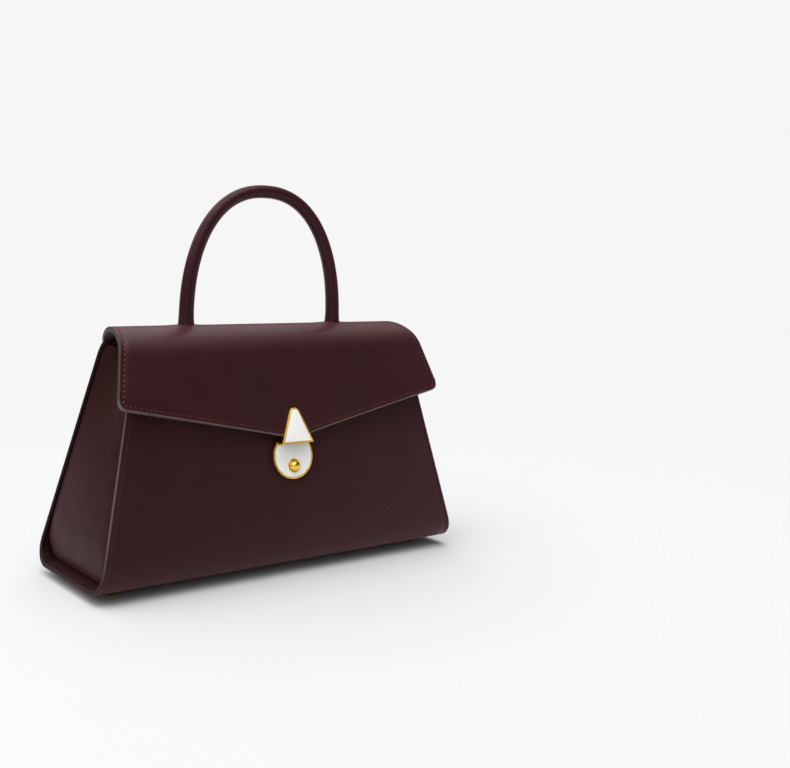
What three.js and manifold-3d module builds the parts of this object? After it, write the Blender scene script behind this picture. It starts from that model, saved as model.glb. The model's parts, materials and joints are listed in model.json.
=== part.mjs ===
// Top handle satchel: a tapered leather bag with a fold-over flap, a rolled handle and a push lock.
// Millimetres, +Z up, the front faces -Y. The origin is on the floor, under the middle of the bag.

import * as THREE from 'three';
import { mergeVertices } from 'three/addons/utils/BufferGeometryUtils.js';
import Module from 'manifold-3d';

const wasm = await Module();
wasm.setup();

const degrees = THREE.MathUtils.degToRad;
const lerp = THREE.MathUtils.lerp;

// Clearances
const FIT_GAP = 0.3; // between separate pieces that touch
const LAYER_GAP = 0.2; // between the glued layers of a wall
const CUT_MARGIN = 2; // how far a cutting tool reaches past what it cuts

// Body: heights are measured from its underside
const BODY_WIDTH = 290; // across the base, rim to rim
const BODY_DEPTH = 106; // front to rear, where the walls' lines meet the underside
const SIDE_LEAN = 0.23; // inward run of each side per millimetre of height
const WALL_LEAN = 0.18; // inward run of the front and rear walls per millimetre of height
const CORNER_RADIUS = 15; // bend between base and wall
const WALL_HEIGHT = 140; // where the straight walls end
const LIP_RADIUS = 18; // inward roll of a wall's top edge
const LIP_TURN = degrees(44);
const FACING_DROP = 12; // the leather facing's lower edge, below the straight walls' end

// Layers of the walls
const WRAP = 1.8;
const BOARD = 1;
const BASE_BOARD = 1.2;
const PADDING = 1;
const FACING = 1;
const LINING = 0.8;

// Gussets
const GUSSET = 1.4; // leather of the gusset's face
const GUSSET_FLANGE = 1; // leather of its turned-out edge
const GUSSET_DEPTH = 9; // how far the face sits inside the rim
const GUSSET_DIP = 4; // dip in the middle of its top edge

// Feet
const FOOT_HEIGHT = 6;
const FOOT_RADIUS = 5.5;
const FOOT_FLAT_RADIUS = 3; // flat that rests on the floor
const FOOT_RIM = 2.6; // straight part under the base
const FOOT_INSET_X = 20; // centre inside the base's ends
const FOOT_INSET_Y = 31; // centre inside the base's front and rear lines
const FOOT_POST_RADIUS = 1.4;
const FOOT_NUT_RADIUS = 4;
const FOOT_NUT = 1;

// Flap: its section is an arch with a rear and a front shoulder, then a straight front
const FLAP_LEATHER = 1.2;
const FLAP_BOARD = 0.6;
const FLAP_LINING = 0.8;
const ARCH_CROWN = 2.6; // top of the arch above the rear shoulder's own top
const REAR_SHOULDER_INSET = 7.8; // its radius under the body's half depth at the walls' end
const REAR_SHOULDER_RISE = 5.44; // where it starts, above the walls' end
const FRONT_SHOULDER_INSET = 5.8;
const FRONT_SHOULDER_STAND = 4.2; // its foremost line in front of the wall's end
const FOLD_ANGLE = degrees(38); // where on the rear shoulder the flap folds open
const FOLD_GAP = 0.4;
const FOLD_INSET = 0.5; // the fold's ends inside the body's sides
const TIP_DROP = 50.2; // below the straight walls' end
const TIP_STAND = 9.96; // off the front wall
const FLAP_CORNER_DROP = 22.55;
const FLAP_CORNER_STAND = 12.34;
const FLAP_OVERHANG = 13; // front corners outside the body's sides
const TIP_FLATNESS = 3.3; // higher keeps the lower edge in the tip's plane for longer
const FLAP_BOARD_EDGE = 6; // board to the flap's sides
const FLAP_BOARD_FOLD = 3; // board to the fold
const FLAP_LINING_EDGE = 0.6;

// Tail: the flap's rear end, sewn on the rear wall
const TAIL_DROP = 15.85; // lower edge below the straight walls' end
const TAIL_INSET = 18.8; // lower corners inside the body's sides
const TAIL_CORNER_RADIUS = 9;
const TAIL_PADDING_MARGIN = 7;

// Handle
const HANDLE_HALF = 60.7; // centre line, from the middle to a leg
const HANDLE_RISE = 90; // centre line, from the legs' straight ends to the top
const HANDLE_STRAIGHT = 2;
const HANDLE_SQUARENESS = 2.25; // exponent of the superellipse that it follows
const HANDLE_LEG_RADIUS = 5.1;
const HANDLE_TOP_RADIUS = 4.5;
const HANDLE_COVER = 1.6;
const INSERT_RADIUS = 2;
const INSERT_LENGTH = 12;
const HANDLE_SCREW_RADIUS = 1.2;
const HANDLE_SCREW_HEAD = { radius: 2.6, height: 1.2 };
const HANDLE_SCREW_REACH = 8; // into the insert
const HANDLE_WASHER_RADIUS = 6;
const HANDLE_WASHER = 0.8;

// D-rings
const DRING_INSET = 19.8; // centre inside the body's sides
const DRING_RISE = 5.75; // bar above the straight walls' end
const DRING_WIDTH = 15.8;
const DRING_DROP = 12; // bar centre to the bottom of the loop's centre line
const DRING_WIRE = 1; // wire radius
const DRING_BEND = 1.5;
const TAB_WIDTH = 9;
const TAB_LEATHER = 1;
const TAB_RISE = 5; // strap above the bar

// Lock, measured in the front wall's plane from the disc's centre
const LOCK_DROP = 13.8; // centre below the flap's tip
const DISC_RADIUS = 15.8;
const DISC_DEPTH = 5.6;
const HORN_WIDTH = 4.2; // each side of the notch that takes the tongue
const NOTCH_DEPTH = 7.8;
const RIM = 1.1; // gold rim round the enamel
const ENAMEL_DEPTH = 1;
const ENAMEL_SINK = 0.15; // enamel below the rim
const BUTTON_RADIUS = 4;
const BUTTON_DROP = 6.7; // below the disc's centre
const BUTTON_TRAVEL = 2;
const BUTTON_SKIRT = 1.9;
const STEM_RADIUS = 1.9;
const STEM_END_RADIUS = 1.2;
const LEAF = 0.6;
const LEAF_HALF = 4;
const LEAF_STAND = 0.9; // behind the lining
const NOSE_REACH = 1.7; // nose of the latch over the tongue
const NOSE_HEIGHT = 1.2;
const CLIP_RADIUS = 3;
const CLIP = 0.7;
const SPRING_RADIUS = 2.4;
const SPRING_WIRE = 0.3;
const SPRING_TURNS = 3;
const SPRING_LENGTH = 3.6;
const CASE_LOW = -13;
const CASE_WALL = 0.8;
const CASE_MARGIN = 1; // inside the case, above the tongue's window
const FLANGE_MARGIN = 2.8; // past the screws
const FLANGE_HALF = 5;
const LOCK_SCREW_INSET = 3.6; // inside the disc's edge
const LOCK_SCREW_RISE = 2; // above the disc's centre
const LOCK_SCREW_RADIUS = 1.1;
const LOCK_SCREW_HEAD = { radius: 2.2, height: 1.1 };
const LOCK_SCREW_GRIP = 3; // into the disc

// Clasp on the flap's tip, measured in the flap's plane from the tip
const CLASP_BASE = 25.6;
const CLASP_LENGTH = 24.6;
const CLASP_DROP = 3.7; // base edge below the flap's tip
const CLASP_NOSE = 3.6; // radius of the rounded apex
const CLASP_DEPTH = 1.7;
const CATCH_HALF = 7;
const CATCH_RISE = 9; // above the flap's tip
const CATCH = 1;
const TONGUE_HALF = 5;
const TONGUE_RISE = 1.2; // above the notch's floor
const TONGUE = 1.8;
const WINDOW_CLEARANCE = 0.6;
const WINDOW_SWING = 5.6; // room for the tongue to swing up as the flap opens
const RIVET_X = 4;
const RIVET_RISE = 4.5;
const RIVET_RADIUS = 0.9;
const RIVET_HEAD = { radius: 1.6, height: 0.9 };

// Facets
const ROUND_SIDES = 12;
const CURVE_STEPS = 6;
const FOOT_STEPS = 3;
const FLAP_STEPS = [2, 6, 4, 3]; // rear shoulder, arch, front shoulder, straight front
const FLAP_COLUMNS = 10;
const HANDLE_STEPS = 22;
const DRING_SIDES = 8;
const DRING_STEPS = 8; // round its bottom
const DRING_BEND_STEPS = 3;
const SPRING_STEPS = 8; // per turn

// Materials
const finish = (color, roughness, metalness) =>
  new THREE.MeshStandardMaterial({ color, roughness, metalness });
const LEATHER_FINISH = finish(0x40262b, 0.38, 0);
const LINING_FINISH = finish(0x5a3b3e, 0.85, 0);
const BOARD_FINISH = finish(0x8b8378, 0.9, 0);
const PADDING_FINISH = finish(0xd8d4cc, 0.95, 0);
const GOLD_FINISH = finish(0xe0ad45, 0.2, 1);
const ENAMEL_FINISH = finish(0xefeeea, 0.15, 0);
const STEEL_FINISH = finish(0x9a9ca0, 0.35, 1);

// Solids

const solidOf = (geometry) => {
  const bare = geometry.index ? geometry.toNonIndexed() : geometry.clone();
  bare.deleteAttribute('normal');
  bare.deleteAttribute('uv');
  const merged = mergeVertices(bare, 1e-4);
  const vertProperties = merged.attributes.position.array;
  const triVerts = new Uint32Array(merged.index.array);
  return new wasm.Manifold(new wasm.Mesh({ numProp: 3, vertProperties, triVerts }));
};

const geometryOf = (solid) => {
  const mesh = solid.getMesh();
  const geometry = new THREE.BufferGeometry();
  geometry.setAttribute('position', new THREE.BufferAttribute(mesh.vertProperties, 3));
  geometry.setIndex(new THREE.BufferAttribute(mesh.triVerts, 1));
  geometry.computeVertexNormals();
  return geometry;
};

const cut = (geometry, tools) =>
  geometryOf(tools.reduce((solid, tool) => solid.subtract(solidOf(tool)), solidOf(geometry)));

const join = (first, second) => geometryOf(solidOf(first).add(solidOf(second)));

const shapeOf = (outline) => new THREE.Shape(outline.map(([x, y]) => new THREE.Vector2(x, y)));

// A flat plate between two heights of its own plane
const plate = (shape, low, high) =>
  new THREE.ExtrudeGeometry(shape, { depth: high - low, bevelEnabled: false, curveSegments: CURVE_STEPS })
    .translate(0, 0, low);

const block = (left, right, bottom, top, low, high) =>
  plate(shapeOf([[left, bottom], [right, bottom], [right, top], [left, top]]), low, high);

const rod = (radius, low, high, x = 0, y = 0) =>
  new THREE.CylinderGeometry(radius, radius, high - low, ROUND_SIDES)
    .rotateX(Math.PI / 2)
    .translate(x, y, (low + high) / 2);

const ring = (inner, outer, low, high) =>
  cut(rod(outer, low, high), [rod(inner, low - CUT_MARGIN, high + CUT_MARGIN)]);

// A turned piece: the profile gives [radius, height] from the bottom up
const turned = (profile) =>
  new THREE.LatheGeometry(profile.map(([r, h]) => new THREE.Vector2(r, h)), ROUND_SIDES).rotateX(Math.PI / 2);

// A headed pin, with the head below its seat and the shank up to a height
const headed = (head, seat, shankRadius, top) =>
  turned([
    [0, seat - head.height],
    [head.radius, seat - head.height],
    [head.radius, seat],
    [shankRadius, seat],
    [shankRadius, top],
    [0, top],
  ]);

// A round tube along points in one plane, capped at its ends or closed on itself
const tube = (points, radii, planeNormal, sides, closed) => {
  const count = points.length;
  const positions = [];
  const index = [];
  points.forEach((point, i) => {
    const before = points[closed ? (i + count - 1) % count : Math.max(i - 1, 0)];
    const after = points[closed ? (i + 1) % count : Math.min(i + 1, count - 1)];
    const outward = after.clone().sub(before).normalize().cross(planeNormal);
    for (let k = 0; k < sides; k += 1) {
      const turn = (2 * Math.PI * k) / sides;
      const vertex = point.clone()
        .addScaledVector(outward, radii[i] * Math.cos(turn))
        .addScaledVector(planeNormal, radii[i] * Math.sin(turn));
      positions.push(vertex.x, vertex.y, vertex.z);
    }
  });
  const rings = closed ? count : count - 1;
  for (let i = 0; i < rings; i += 1) {
    for (let k = 0; k < sides; k += 1) {
      const next = (k + 1) % sides;
      const [a, b] = [i * sides + k, i * sides + next];
      const [c, d] = [((i + 1) % count) * sides + next, ((i + 1) % count) * sides + k];
      index.push(a, d, c, a, c, b);
    }
  }
  if (!closed) {
    const last = (count - 1) * sides;
    for (let k = 1; k < sides - 1; k += 1) index.push(0, k, k + 1, last, last + k + 1, last + k);
  }
  const geometry = new THREE.BufferGeometry();
  geometry.setAttribute('position', new THREE.Float32BufferAttribute(positions, 3));
  geometry.setIndex(index);
  return geometry;
};

// A sheet between two grids of points, grid[i][j] with i across and j along
const sheet = (outer, inner) => {
  const across = outer.length;
  const along = outer[0].length;
  const positions = [...outer.flat(), ...inner.flat()].flat();
  const outerAt = (i, j) => i * along + j;
  const innerAt = (i, j) => across * along + i * along + j;
  const index = [];
  const quad = (a, b, c, d) => index.push(a, b, c, a, c, d);
  for (let i = 0; i < across - 1; i += 1) {
    for (let j = 0; j < along - 1; j += 1) {
      quad(outerAt(i, j), outerAt(i, j + 1), outerAt(i + 1, j + 1), outerAt(i + 1, j));
      quad(innerAt(i, j), innerAt(i + 1, j), innerAt(i + 1, j + 1), innerAt(i, j + 1));
    }
  }
  const edge = [];
  for (let j = 0; j < along - 1; j += 1) edge.push([0, j]);
  for (let i = 0; i < across - 1; i += 1) edge.push([i, along - 1]);
  for (let j = along - 1; j > 0; j -= 1) edge.push([across - 1, j]);
  for (let i = across - 1; i > 0; i -= 1) edge.push([i, 0]);
  edge.forEach(([i, j], n) => {
    const [p, q] = edge[(n + 1) % edge.length];
    quad(outerAt(p, q), outerAt(i, j), innerAt(i, j), innerAt(p, q));
  });
  const geometry = new THREE.BufferGeometry();
  geometry.setAttribute('position', new THREE.Float32BufferAttribute(positions, 3));
  geometry.setIndex(index);
  return geometry;
};

// Frames

const bag = new THREE.Group(); // stands on the feet
bag.position.z = FOOT_HEIGHT;

const wallAngle = Math.atan(WALL_LEAN);
const halfDepthAt = (height) => BODY_DEPTH / 2 - WALL_LEAN * height;
const halfWidthAt = (height) => BODY_WIDTH / 2 - SIDE_LEAN * height;

// A group whose own Z points out of a front surface that leans back by an angle, and whose Y runs up it
const frontGroup = (y, z, lean) => {
  const group = new THREE.Group();
  group.position.set(0, y, z);
  group.rotation.x = Math.PI / 2 - lean;
  group.updateMatrix();
  bag.add(group);
  return group;
};

const addPiece = (parent, name, geometry, material) => {
  const mesh = new THREE.Mesh(geometry, material);
  mesh.name = name;
  parent.add(mesh);
};

const inBag = (group, geometry) => geometry.clone().applyMatrix4(group.matrix);

// Section of the body: stations run 0 to 1 along half the base, to 2 round the corner, to 3 up the
// straight wall and to 4 round the lip. Each gives a point on the outer surface and its normal's angle.

const polar = ([y, z], radius, angle) => [y + radius * Math.cos(angle), z + radius * Math.sin(angle)];

const cornerCentre = [
  halfDepthAt(CORNER_RADIUS) - CORNER_RADIUS / Math.cos(wallAngle),
  CORNER_RADIUS,
];
const wallStart = polar(cornerCentre, CORNER_RADIUS, wallAngle)[1];
const lipCentre = polar([halfDepthAt(WALL_HEIGHT), WALL_HEIGHT], -LIP_RADIUS, wallAngle);

const sectionAt = (station) => {
  const part = Math.min(Math.floor(station), 3);
  const share = station - part;
  if (part === 0) return { point: [cornerCentre[0] * share, 0], angle: -Math.PI / 2 };
  if (part === 1) {
    const angle = lerp(-Math.PI / 2, wallAngle, share);
    return { point: polar(cornerCentre, CORNER_RADIUS, angle), angle };
  }
  if (part === 2) {
    const height = lerp(wallStart, WALL_HEIGHT, share);
    return { point: [halfDepthAt(height), height], angle: wallAngle };
  }
  const angle = wallAngle + LIP_TURN * share;
  return { point: polar(lipCentre, LIP_RADIUS, angle), angle };
};

const CORNER_STATION = 1;
const WALL_STATION = 2;
const LIP_STATION = 3;
const LIP_END = 4;
const wallStation = (height) => WALL_STATION + (height - wallStart) / (WALL_HEIGHT - wallStart);

const stationsBetween = (from, to) => {
  const curved = [CORNER_STATION, LIP_STATION].flatMap((start) =>
    Array.from({ length: CURVE_STEPS + 1 }, (_, i) => start + i / CURVE_STEPS));
  const inside = [...new Set(curved)].filter((station) => station > from && station < to);
  return [from, ...inside, to];
};

// Rear half of a line through the section at an inset from the outer surface
const insetLine = (from, to, inset) =>
  stationsBetween(from, to).map((station) => {
    const { point, angle } = sectionAt(station);
    return polar(point, -inset, angle);
  });

const mirrored = (line) => line.map(([y, z]) => [-y, z]).reverse();

const wholeLine = (to, inset) => {
  const rear = insetLine(0, to, inset);
  return [...mirrored(rear.slice(1)), ...rear];
};

// A layer of the wall, as an outline in the Y-Z plane
const wallLayer = (from, to, outerInset, thickness) => [
  ...insetLine(from, to, outerInset),
  ...insetLine(from, to, outerInset + thickness).reverse(),
];

const wholeLayer = (to, outerInset, thickness) => [
  ...wholeLine(to, outerInset),
  ...wholeLine(to, outerInset + thickness).reverse(),
];

// An outline in the Y-Z plane, stretched along X between two bounds that depend on the height
const stretched = (outline, lowX, highX) => {
  const geometry = new THREE.ExtrudeGeometry(shapeOf(outline), { depth: 1, bevelEnabled: false });
  const position = geometry.attributes.position;
  for (let i = 0; i < position.count; i += 1) {
    const [y, z, share] = [position.getX(i), position.getY(i), position.getZ(i)];
    position.setXYZ(i, lerp(lowX(z), highX(z), share), y, z);
  }
  return geometry;
};

const acrossBag = (outline, margin) =>
  stretched(outline, (z) => margin - halfWidthAt(z), (z) => halfWidthAt(z) - margin);

// Insets of the layers from the outer surface
const boardInset = WRAP + LAYER_GAP;
const paddingInset = boardInset + BOARD + LAYER_GAP;
const nutInset = boardInset + BASE_BOARD + LAYER_GAP;
const liningInset = Math.max(paddingInset + PADDING, nutInset + FOOT_NUT) + LAYER_GAP;
const liningFace = liningInset + LINING;
const innerMargin = GUSSET_DEPTH + GUSSET + LAYER_GAP; // rim to the inner layers' ends
const facingHeight = WALL_HEIGHT - FACING_DROP;
const liningTop = wallStation(facingHeight - FIT_GAP);

// Lock frame and the holes that the lock needs in the front wall

const tipHeight = WALL_HEIGHT - TIP_DROP;
const lockHeight = tipHeight - LOCK_DROP;
const lock = frontGroup(-halfDepthAt(lockHeight), lockHeight, wallAngle);
const notchHalf = DISC_RADIUS - HORN_WIDTH;
const notchFloor = DISC_RADIUS - NOTCH_DEPTH;
const tongueLow = notchFloor + TONGUE_RISE;
const tongueHigh = tongueLow + TONGUE;
const windowHalf = TONGUE_HALF + WINDOW_CLEARANCE;
const windowHigh = tongueHigh + WINDOW_SWING;
const holeStart = -liningFace - CUT_MARGIN;
const lockScrewPlaces = [['left', -1], ['right', 1]].map(([name, side]) => ({
  name,
  x: side * (DISC_RADIUS - LOCK_SCREW_INSET),
  y: LOCK_SCREW_RISE,
}));
const lockHoles = [
  block(-windowHalf, windowHalf, tongueLow - WINDOW_CLEARANCE, windowHigh, holeStart, CUT_MARGIN),
  rod(STEM_RADIUS + FIT_GAP, holeStart, CUT_MARGIN, 0, -BUTTON_DROP),
  ...lockScrewPlaces.map(({ x, y }) => rod(LOCK_SCREW_RADIUS + LAYER_GAP, holeStart, CUT_MARGIN, x, y)),
].map((hole) => inBag(lock, hole));

// Feet and their nuts

const footPlaces = [
  ['front_left', -1, -1],
  ['front_right', 1, -1],
  ['rear_left', -1, 1],
  ['rear_right', 1, 1],
].map(([name, x, y]) => ({
  name,
  x: x * (BODY_WIDTH / 2 - FOOT_INSET_X),
  y: y * (BODY_DEPTH / 2 - FOOT_INSET_Y),
}));

const addFeet = () => {
  const postTop = nutInset + FOOT_NUT;
  const dome = Array.from({ length: FOOT_STEPS + 1 }, (_, i) => {
    const turn = ((i / FOOT_STEPS) * Math.PI) / 2;
    return [
      lerp(FOOT_FLAT_RADIUS, FOOT_RADIUS, Math.sin(turn)),
      lerp(-FOOT_RIM, -FOOT_HEIGHT, Math.cos(turn)),
    ];
  });
  const profile = [
    [0, -FOOT_HEIGHT],
    ...dome,
    [FOOT_RADIUS, -FIT_GAP],
    [FOOT_POST_RADIUS, -FIT_GAP],
    [FOOT_POST_RADIUS, postTop],
    [0, postTop],
  ];
  footPlaces.forEach(({ name, x, y }) => {
    addPiece(bag, `foot_${name}`, turned(profile).translate(x, y, 0), GOLD_FINISH);
    const nut = ring(FOOT_POST_RADIUS + LAYER_GAP, FOOT_NUT_RADIUS, nutInset, nutInset + FOOT_NUT);
    addPiece(bag, `foot_nut_${name}`, nut.translate(x, y, 0), STEEL_FINISH);
  });
};

const footHoles = footPlaces.map(({ x, y }) =>
  rod(FOOT_POST_RADIUS + LAYER_GAP, -CUT_MARGIN, nutInset, x, y));

// Body: outer wrap, boards, padding, facings and lining

const addBody = () => {
  const wrap = acrossBag(wholeLayer(LIP_END, 0, WRAP), 0);
  addPiece(bag, 'outer_wrap', cut(wrap, [...lockHoles, ...footHoles]), LEATHER_FINISH);

  const board = wallLayer(WALL_STATION, liningTop, boardInset, BOARD);
  addPiece(bag, 'front_board', cut(acrossBag(mirrored(board), innerMargin), lockHoles), BOARD_FINISH);
  addPiece(bag, 'rear_board', acrossBag(board, innerMargin), BOARD_FINISH);
  const baseBoard = acrossBag(wholeLayer(CORNER_STATION, boardInset, BASE_BOARD), innerMargin);
  addPiece(bag, 'base_board', cut(baseBoard, footHoles), BOARD_FINISH);

  const pad = wallLayer(WALL_STATION, liningTop, paddingInset, PADDING);
  addPiece(bag, 'front_padding', cut(acrossBag(mirrored(pad), innerMargin), lockHoles), PADDING_FINISH);
  addPiece(bag, 'rear_padding', acrossBag(pad, innerMargin), PADDING_FINISH);

  const facing = wallLayer(wallStation(facingHeight), LIP_END, boardInset, FACING);
  addPiece(bag, 'front_facing', acrossBag(mirrored(facing), innerMargin), LEATHER_FINISH);
  addPiece(bag, 'rear_facing', acrossBag(facing, innerMargin), LEATHER_FINISH);

  const lining = acrossBag(wholeLayer(liningTop, liningInset, LINING), innerMargin);
  addPiece(bag, 'body_lining', cut(lining, lockHoles), LINING_FINISH);
};

// Gussets: a tray whose flange is sewn inside the wrap's rim, and its lining

const addGusset = (name, side) => {
  const toSide = (geometry) => (side > 0 ? geometry : geometry.rotateZ(Math.PI));
  const outer = wholeLine(LIP_END, boardInset);
  const dip = [0, outer[0][1] - GUSSET_DIP];
  const face = (z) => halfWidthAt(z) - GUSSET_DEPTH;
  const body = stretched([...outer, dip], (z) => face(z) - GUSSET, halfWidthAt);
  const hollow = wholeLine(LIP_END, boardInset + GUSSET_FLANGE);
  const lift = hollow[0][1] + GUSSET_DIP;
  const mouth = [[hollow.at(-1)[0], lift], [hollow[0][0], lift]];
  const pocket = stretched([...hollow, ...mouth], face, (z) => halfWidthAt(z) + CUT_MARGIN);
  addPiece(bag, `${name}_gusset`, toSide(cut(body, [pocket])), LEATHER_FINISH);

  const backing = wholeLine(liningTop, liningFace + LAYER_GAP);
  const liningOuter = (z) => halfWidthAt(z) - innerMargin;
  const lining = stretched(backing, (z) => liningOuter(z) - LINING, liningOuter);
  addPiece(bag, `${name}_gusset_lining`, toSide(lining), LINING_FINISH);
};

// Section of the flap: angles are those of the outer surface's normal, from +Y

const flapThickness = FLAP_LEATHER + FLAP_BOARD + FLAP_LINING + 2 * LAYER_GAP;
const boardDepth = FLAP_LEATHER + LAYER_GAP;
const flapLiningDepth = boardDepth + FLAP_BOARD + LAYER_GAP;
const tailStand = LAYER_GAP + flapThickness; // outer surface of the tail off the rear wall
const tailSurface = (height) => halfDepthAt(height) + tailStand / Math.cos(wallAngle);
const topHalf = halfDepthAt(WALL_HEIGHT);
const rearShoulder = topHalf - REAR_SHOULDER_INSET;
const frontShoulder = topHalf - FRONT_SHOULDER_INSET;
const shoulderStart = WALL_HEIGHT + REAR_SHOULDER_RISE;
const rearCentre = polar([tailSurface(shoulderStart), shoulderStart], -rearShoulder, wallAngle);

// The arch is centred on the bag, and meets each shoulder with no kink
const archHeight = rearCentre[1] + rearShoulder + ARCH_CROWN;
const archRadius = rearShoulder + rearCentre[0] ** 2 / (2 * ARCH_CROWN) + ARCH_CROWN / 2;
const archCentre = [0, archHeight - archRadius];
const rearJoin = Math.atan2(rearCentre[1] - archCentre[1], rearCentre[0]);
const frontReach = topHalf + FRONT_SHOULDER_STAND - frontShoulder;
const frontJoin = Math.PI / 2 + Math.asin(frontReach / (archRadius - frontShoulder));
const frontCentre = polar(archCentre, archRadius - frontShoulder, frontJoin);

const arc = (centre, radius, from, to, steps) =>
  Array.from({ length: steps + 1 }, (_, i) => {
    const angle = lerp(from, to, i / steps);
    return { point: polar(centre, radius, angle), angle };
  });

const foldHeight = polar(rearCentre, rearShoulder, FOLD_ANGLE)[1];
const foldHalf = halfWidthAt(foldHeight) - FOLD_INSET;
const cornerHeight = WALL_HEIGHT - FLAP_CORNER_DROP;
const cornerHalf = halfWidthAt(cornerHeight) + FLAP_OVERHANG;
const tip = [-halfDepthAt(tipHeight) - TIP_STAND, tipHeight];
const corner = [-halfDepthAt(cornerHeight) - FLAP_CORNER_STAND, cornerHeight];

// Where the flap's straight front leaves the front shoulder for its lower edge, across from -1 to 1
const flapFront = (across) => {
  const reach = Math.abs(across);
  const retreat = 1 - (1 - reach) ** TIP_FLATNESS;
  const end = [lerp(tip[0], corner[0], retreat), lerp(tip[1], corner[1], reach)];
  const [dy, dz] = [end[0] - frontCentre[0], end[1] - frontCentre[1]];
  const bearing = Math.atan2(dz, dy) + 2 * Math.PI;
  const angle = bearing - Math.acos(frontShoulder / Math.hypot(dy, dz));
  return { angle, start: polar(frontCentre, frontShoulder, angle), end };
};

// Stations run 0 to 1 over the rear shoulder, to 2 over the arch, to 3 over the front shoulder and to 4
// down the straight front. Each gives a point, its normal's angle and its share of the whole length.
const flapStations = FLAP_STEPS.flatMap((steps, part) =>
  Array.from({ length: steps }, (_, i) => part + i / steps));
const FLAP_END = 4;
const boardEnd = flapStations.at(-1); // clear of the clasp

const flapAt = (across, station) => {
  const { angle, start, end } = flapFront(across);
  const arcs = [
    [rearCentre, rearShoulder, FOLD_ANGLE, rearJoin],
    [archCentre, archRadius, rearJoin, frontJoin],
    [frontCentre, frontShoulder, frontJoin, angle],
  ];
  const lengths = [
    ...arcs.map(([, radius, from, to]) => radius * (to - from)),
    Math.hypot(end[0] - start[0], end[1] - start[1]),
  ];
  const part = Math.min(Math.floor(station), 3);
  const along = station - part;
  const sum = (values) => values.reduce((total, value) => total + value, 0);
  const share = (sum(lengths.slice(0, part)) + along * lengths[part]) / sum(lengths);
  if (part === 3) {
    return { point: [lerp(start[0], end[0], along), lerp(start[1], end[1], along)], angle, share };
  }
  const [centre, radius, from, to] = arcs[part];
  const turn = lerp(from, to, along);
  return { point: polar(centre, radius, turn), angle: turn, share };
};

const flapGrid = (depth, edgeInset, foldInset, lastStation) => {
  const widest = 1 - edgeInset / cornerHalf;
  const first = foldInset / (rearShoulder * (rearJoin - FOLD_ANGLE));
  const between = flapStations.filter((station) => station > first && station < lastStation);
  const stations = [first, ...between, lastStation];
  return Array.from({ length: FLAP_COLUMNS + 1 }, (_, i) => {
    const across = THREE.MathUtils.clamp((2 * i) / FLAP_COLUMNS - 1, -widest, widest);
    return stations.map((station) => {
      const { point, angle, share } = flapAt(across, station);
      const [y, z] = polar(point, -depth, angle);
      return [across * lerp(foldHalf, cornerHalf, share), y, z];
    });
  });
};

const flapLayer = (depth, thickness, edgeInset, foldInset, lastStation) =>
  sheet(
    flapGrid(depth, edgeInset, foldInset, lastStation),
    flapGrid(depth + thickness, edgeInset, foldInset, lastStation),
  );

// Clasp frame on the flap's tip, and the holes that the handle and the clasp need in the flap

const tipNormal = flapFront(0).angle;
const clasp = frontGroup(...tip, Math.PI - tipNormal);
const legs = [['left', -HANDLE_HALF], ['right', HANDLE_HALF]];
const rivets = [['left', -RIVET_X], ['right', RIVET_X]];
const handleHoles = legs.map(([, x]) =>
  rod(HANDLE_SCREW_RADIUS + FIT_GAP, archHeight - flapThickness - CUT_MARGIN, archHeight + CUT_MARGIN, x, 0));
const rivetHoles = rivets.map(([, x]) =>
  inBag(clasp, rod(RIVET_RADIUS + LAYER_GAP, -flapThickness - CUT_MARGIN, CUT_MARGIN, x, RIVET_RISE)));

const addFlap = () => {
  const fold = FOLD_GAP / 2;
  const leather = flapLayer(0, FLAP_LEATHER, 0, fold, FLAP_END);
  addPiece(bag, 'flap_leather', cut(leather, [...handleHoles, ...rivetHoles]), LEATHER_FINISH);
  const board = flapLayer(boardDepth, FLAP_BOARD, FLAP_BOARD_EDGE, fold + FLAP_BOARD_FOLD, boardEnd);
  addPiece(bag, 'flap_board', cut(board, handleHoles), BOARD_FINISH);
  const margin = FLAP_LINING_EDGE;
  const { start, end } = flapFront(0);
  const liningEnd = FLAP_END - margin / Math.hypot(end[0] - start[0], end[1] - start[1]);
  const lining = flapLayer(flapLiningDepth, FLAP_LINING, margin, fold + margin, liningEnd);
  addPiece(bag, 'flap_lining', cut(lining, [...handleHoles, ...rivetHoles]), LINING_FINISH);
};

// Tail on the rear wall

const tailBottom = WALL_HEIGHT - TAIL_DROP;
const tailHalf = halfWidthAt(tailBottom) - TAIL_INSET;

// Points up the tail's outer surface, from its rounded lower corners to the fold
const tailLine = (margin) => {
  const rounding = Array.from({ length: CURVE_STEPS }, (_, i) => {
    const turn = ((i / CURVE_STEPS) * Math.PI) / 2;
    const height = tailBottom + margin + TAIL_CORNER_RADIUS * (1 - Math.cos(turn));
    return { point: [tailSurface(height), height], angle: wallAngle };
  });
  const end = FOLD_ANGLE - (FOLD_GAP / 2 + margin) / rearShoulder;
  return [...rounding, ...arc(rearCentre, rearShoulder, wallAngle, end, CURVE_STEPS)];
};

const tailLayer = (depth, thickness, margin) => {
  const line = tailLine(margin);
  const half = (height) => {
    const share = (height - tailBottom) / (foldHeight - tailBottom);
    const side = lerp(tailHalf, foldHalf, share) - margin;
    const lift = THREE.MathUtils.clamp(height - tailBottom - margin, 0, TAIL_CORNER_RADIUS);
    const inset = TAIL_CORNER_RADIUS - lift;
    return side - TAIL_CORNER_RADIUS + Math.sqrt(TAIL_CORNER_RADIUS ** 2 - inset ** 2);
  };
  const gridAt = (offset) =>
    [-1, 0, 1].map((across) =>
      line.map(({ point, angle }) => {
        const [y, z] = polar(point, -offset, angle);
        return [across * half(point[1]), y, z];
      }));
  return sheet(gridAt(depth), gridAt(depth + thickness));
};

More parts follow.
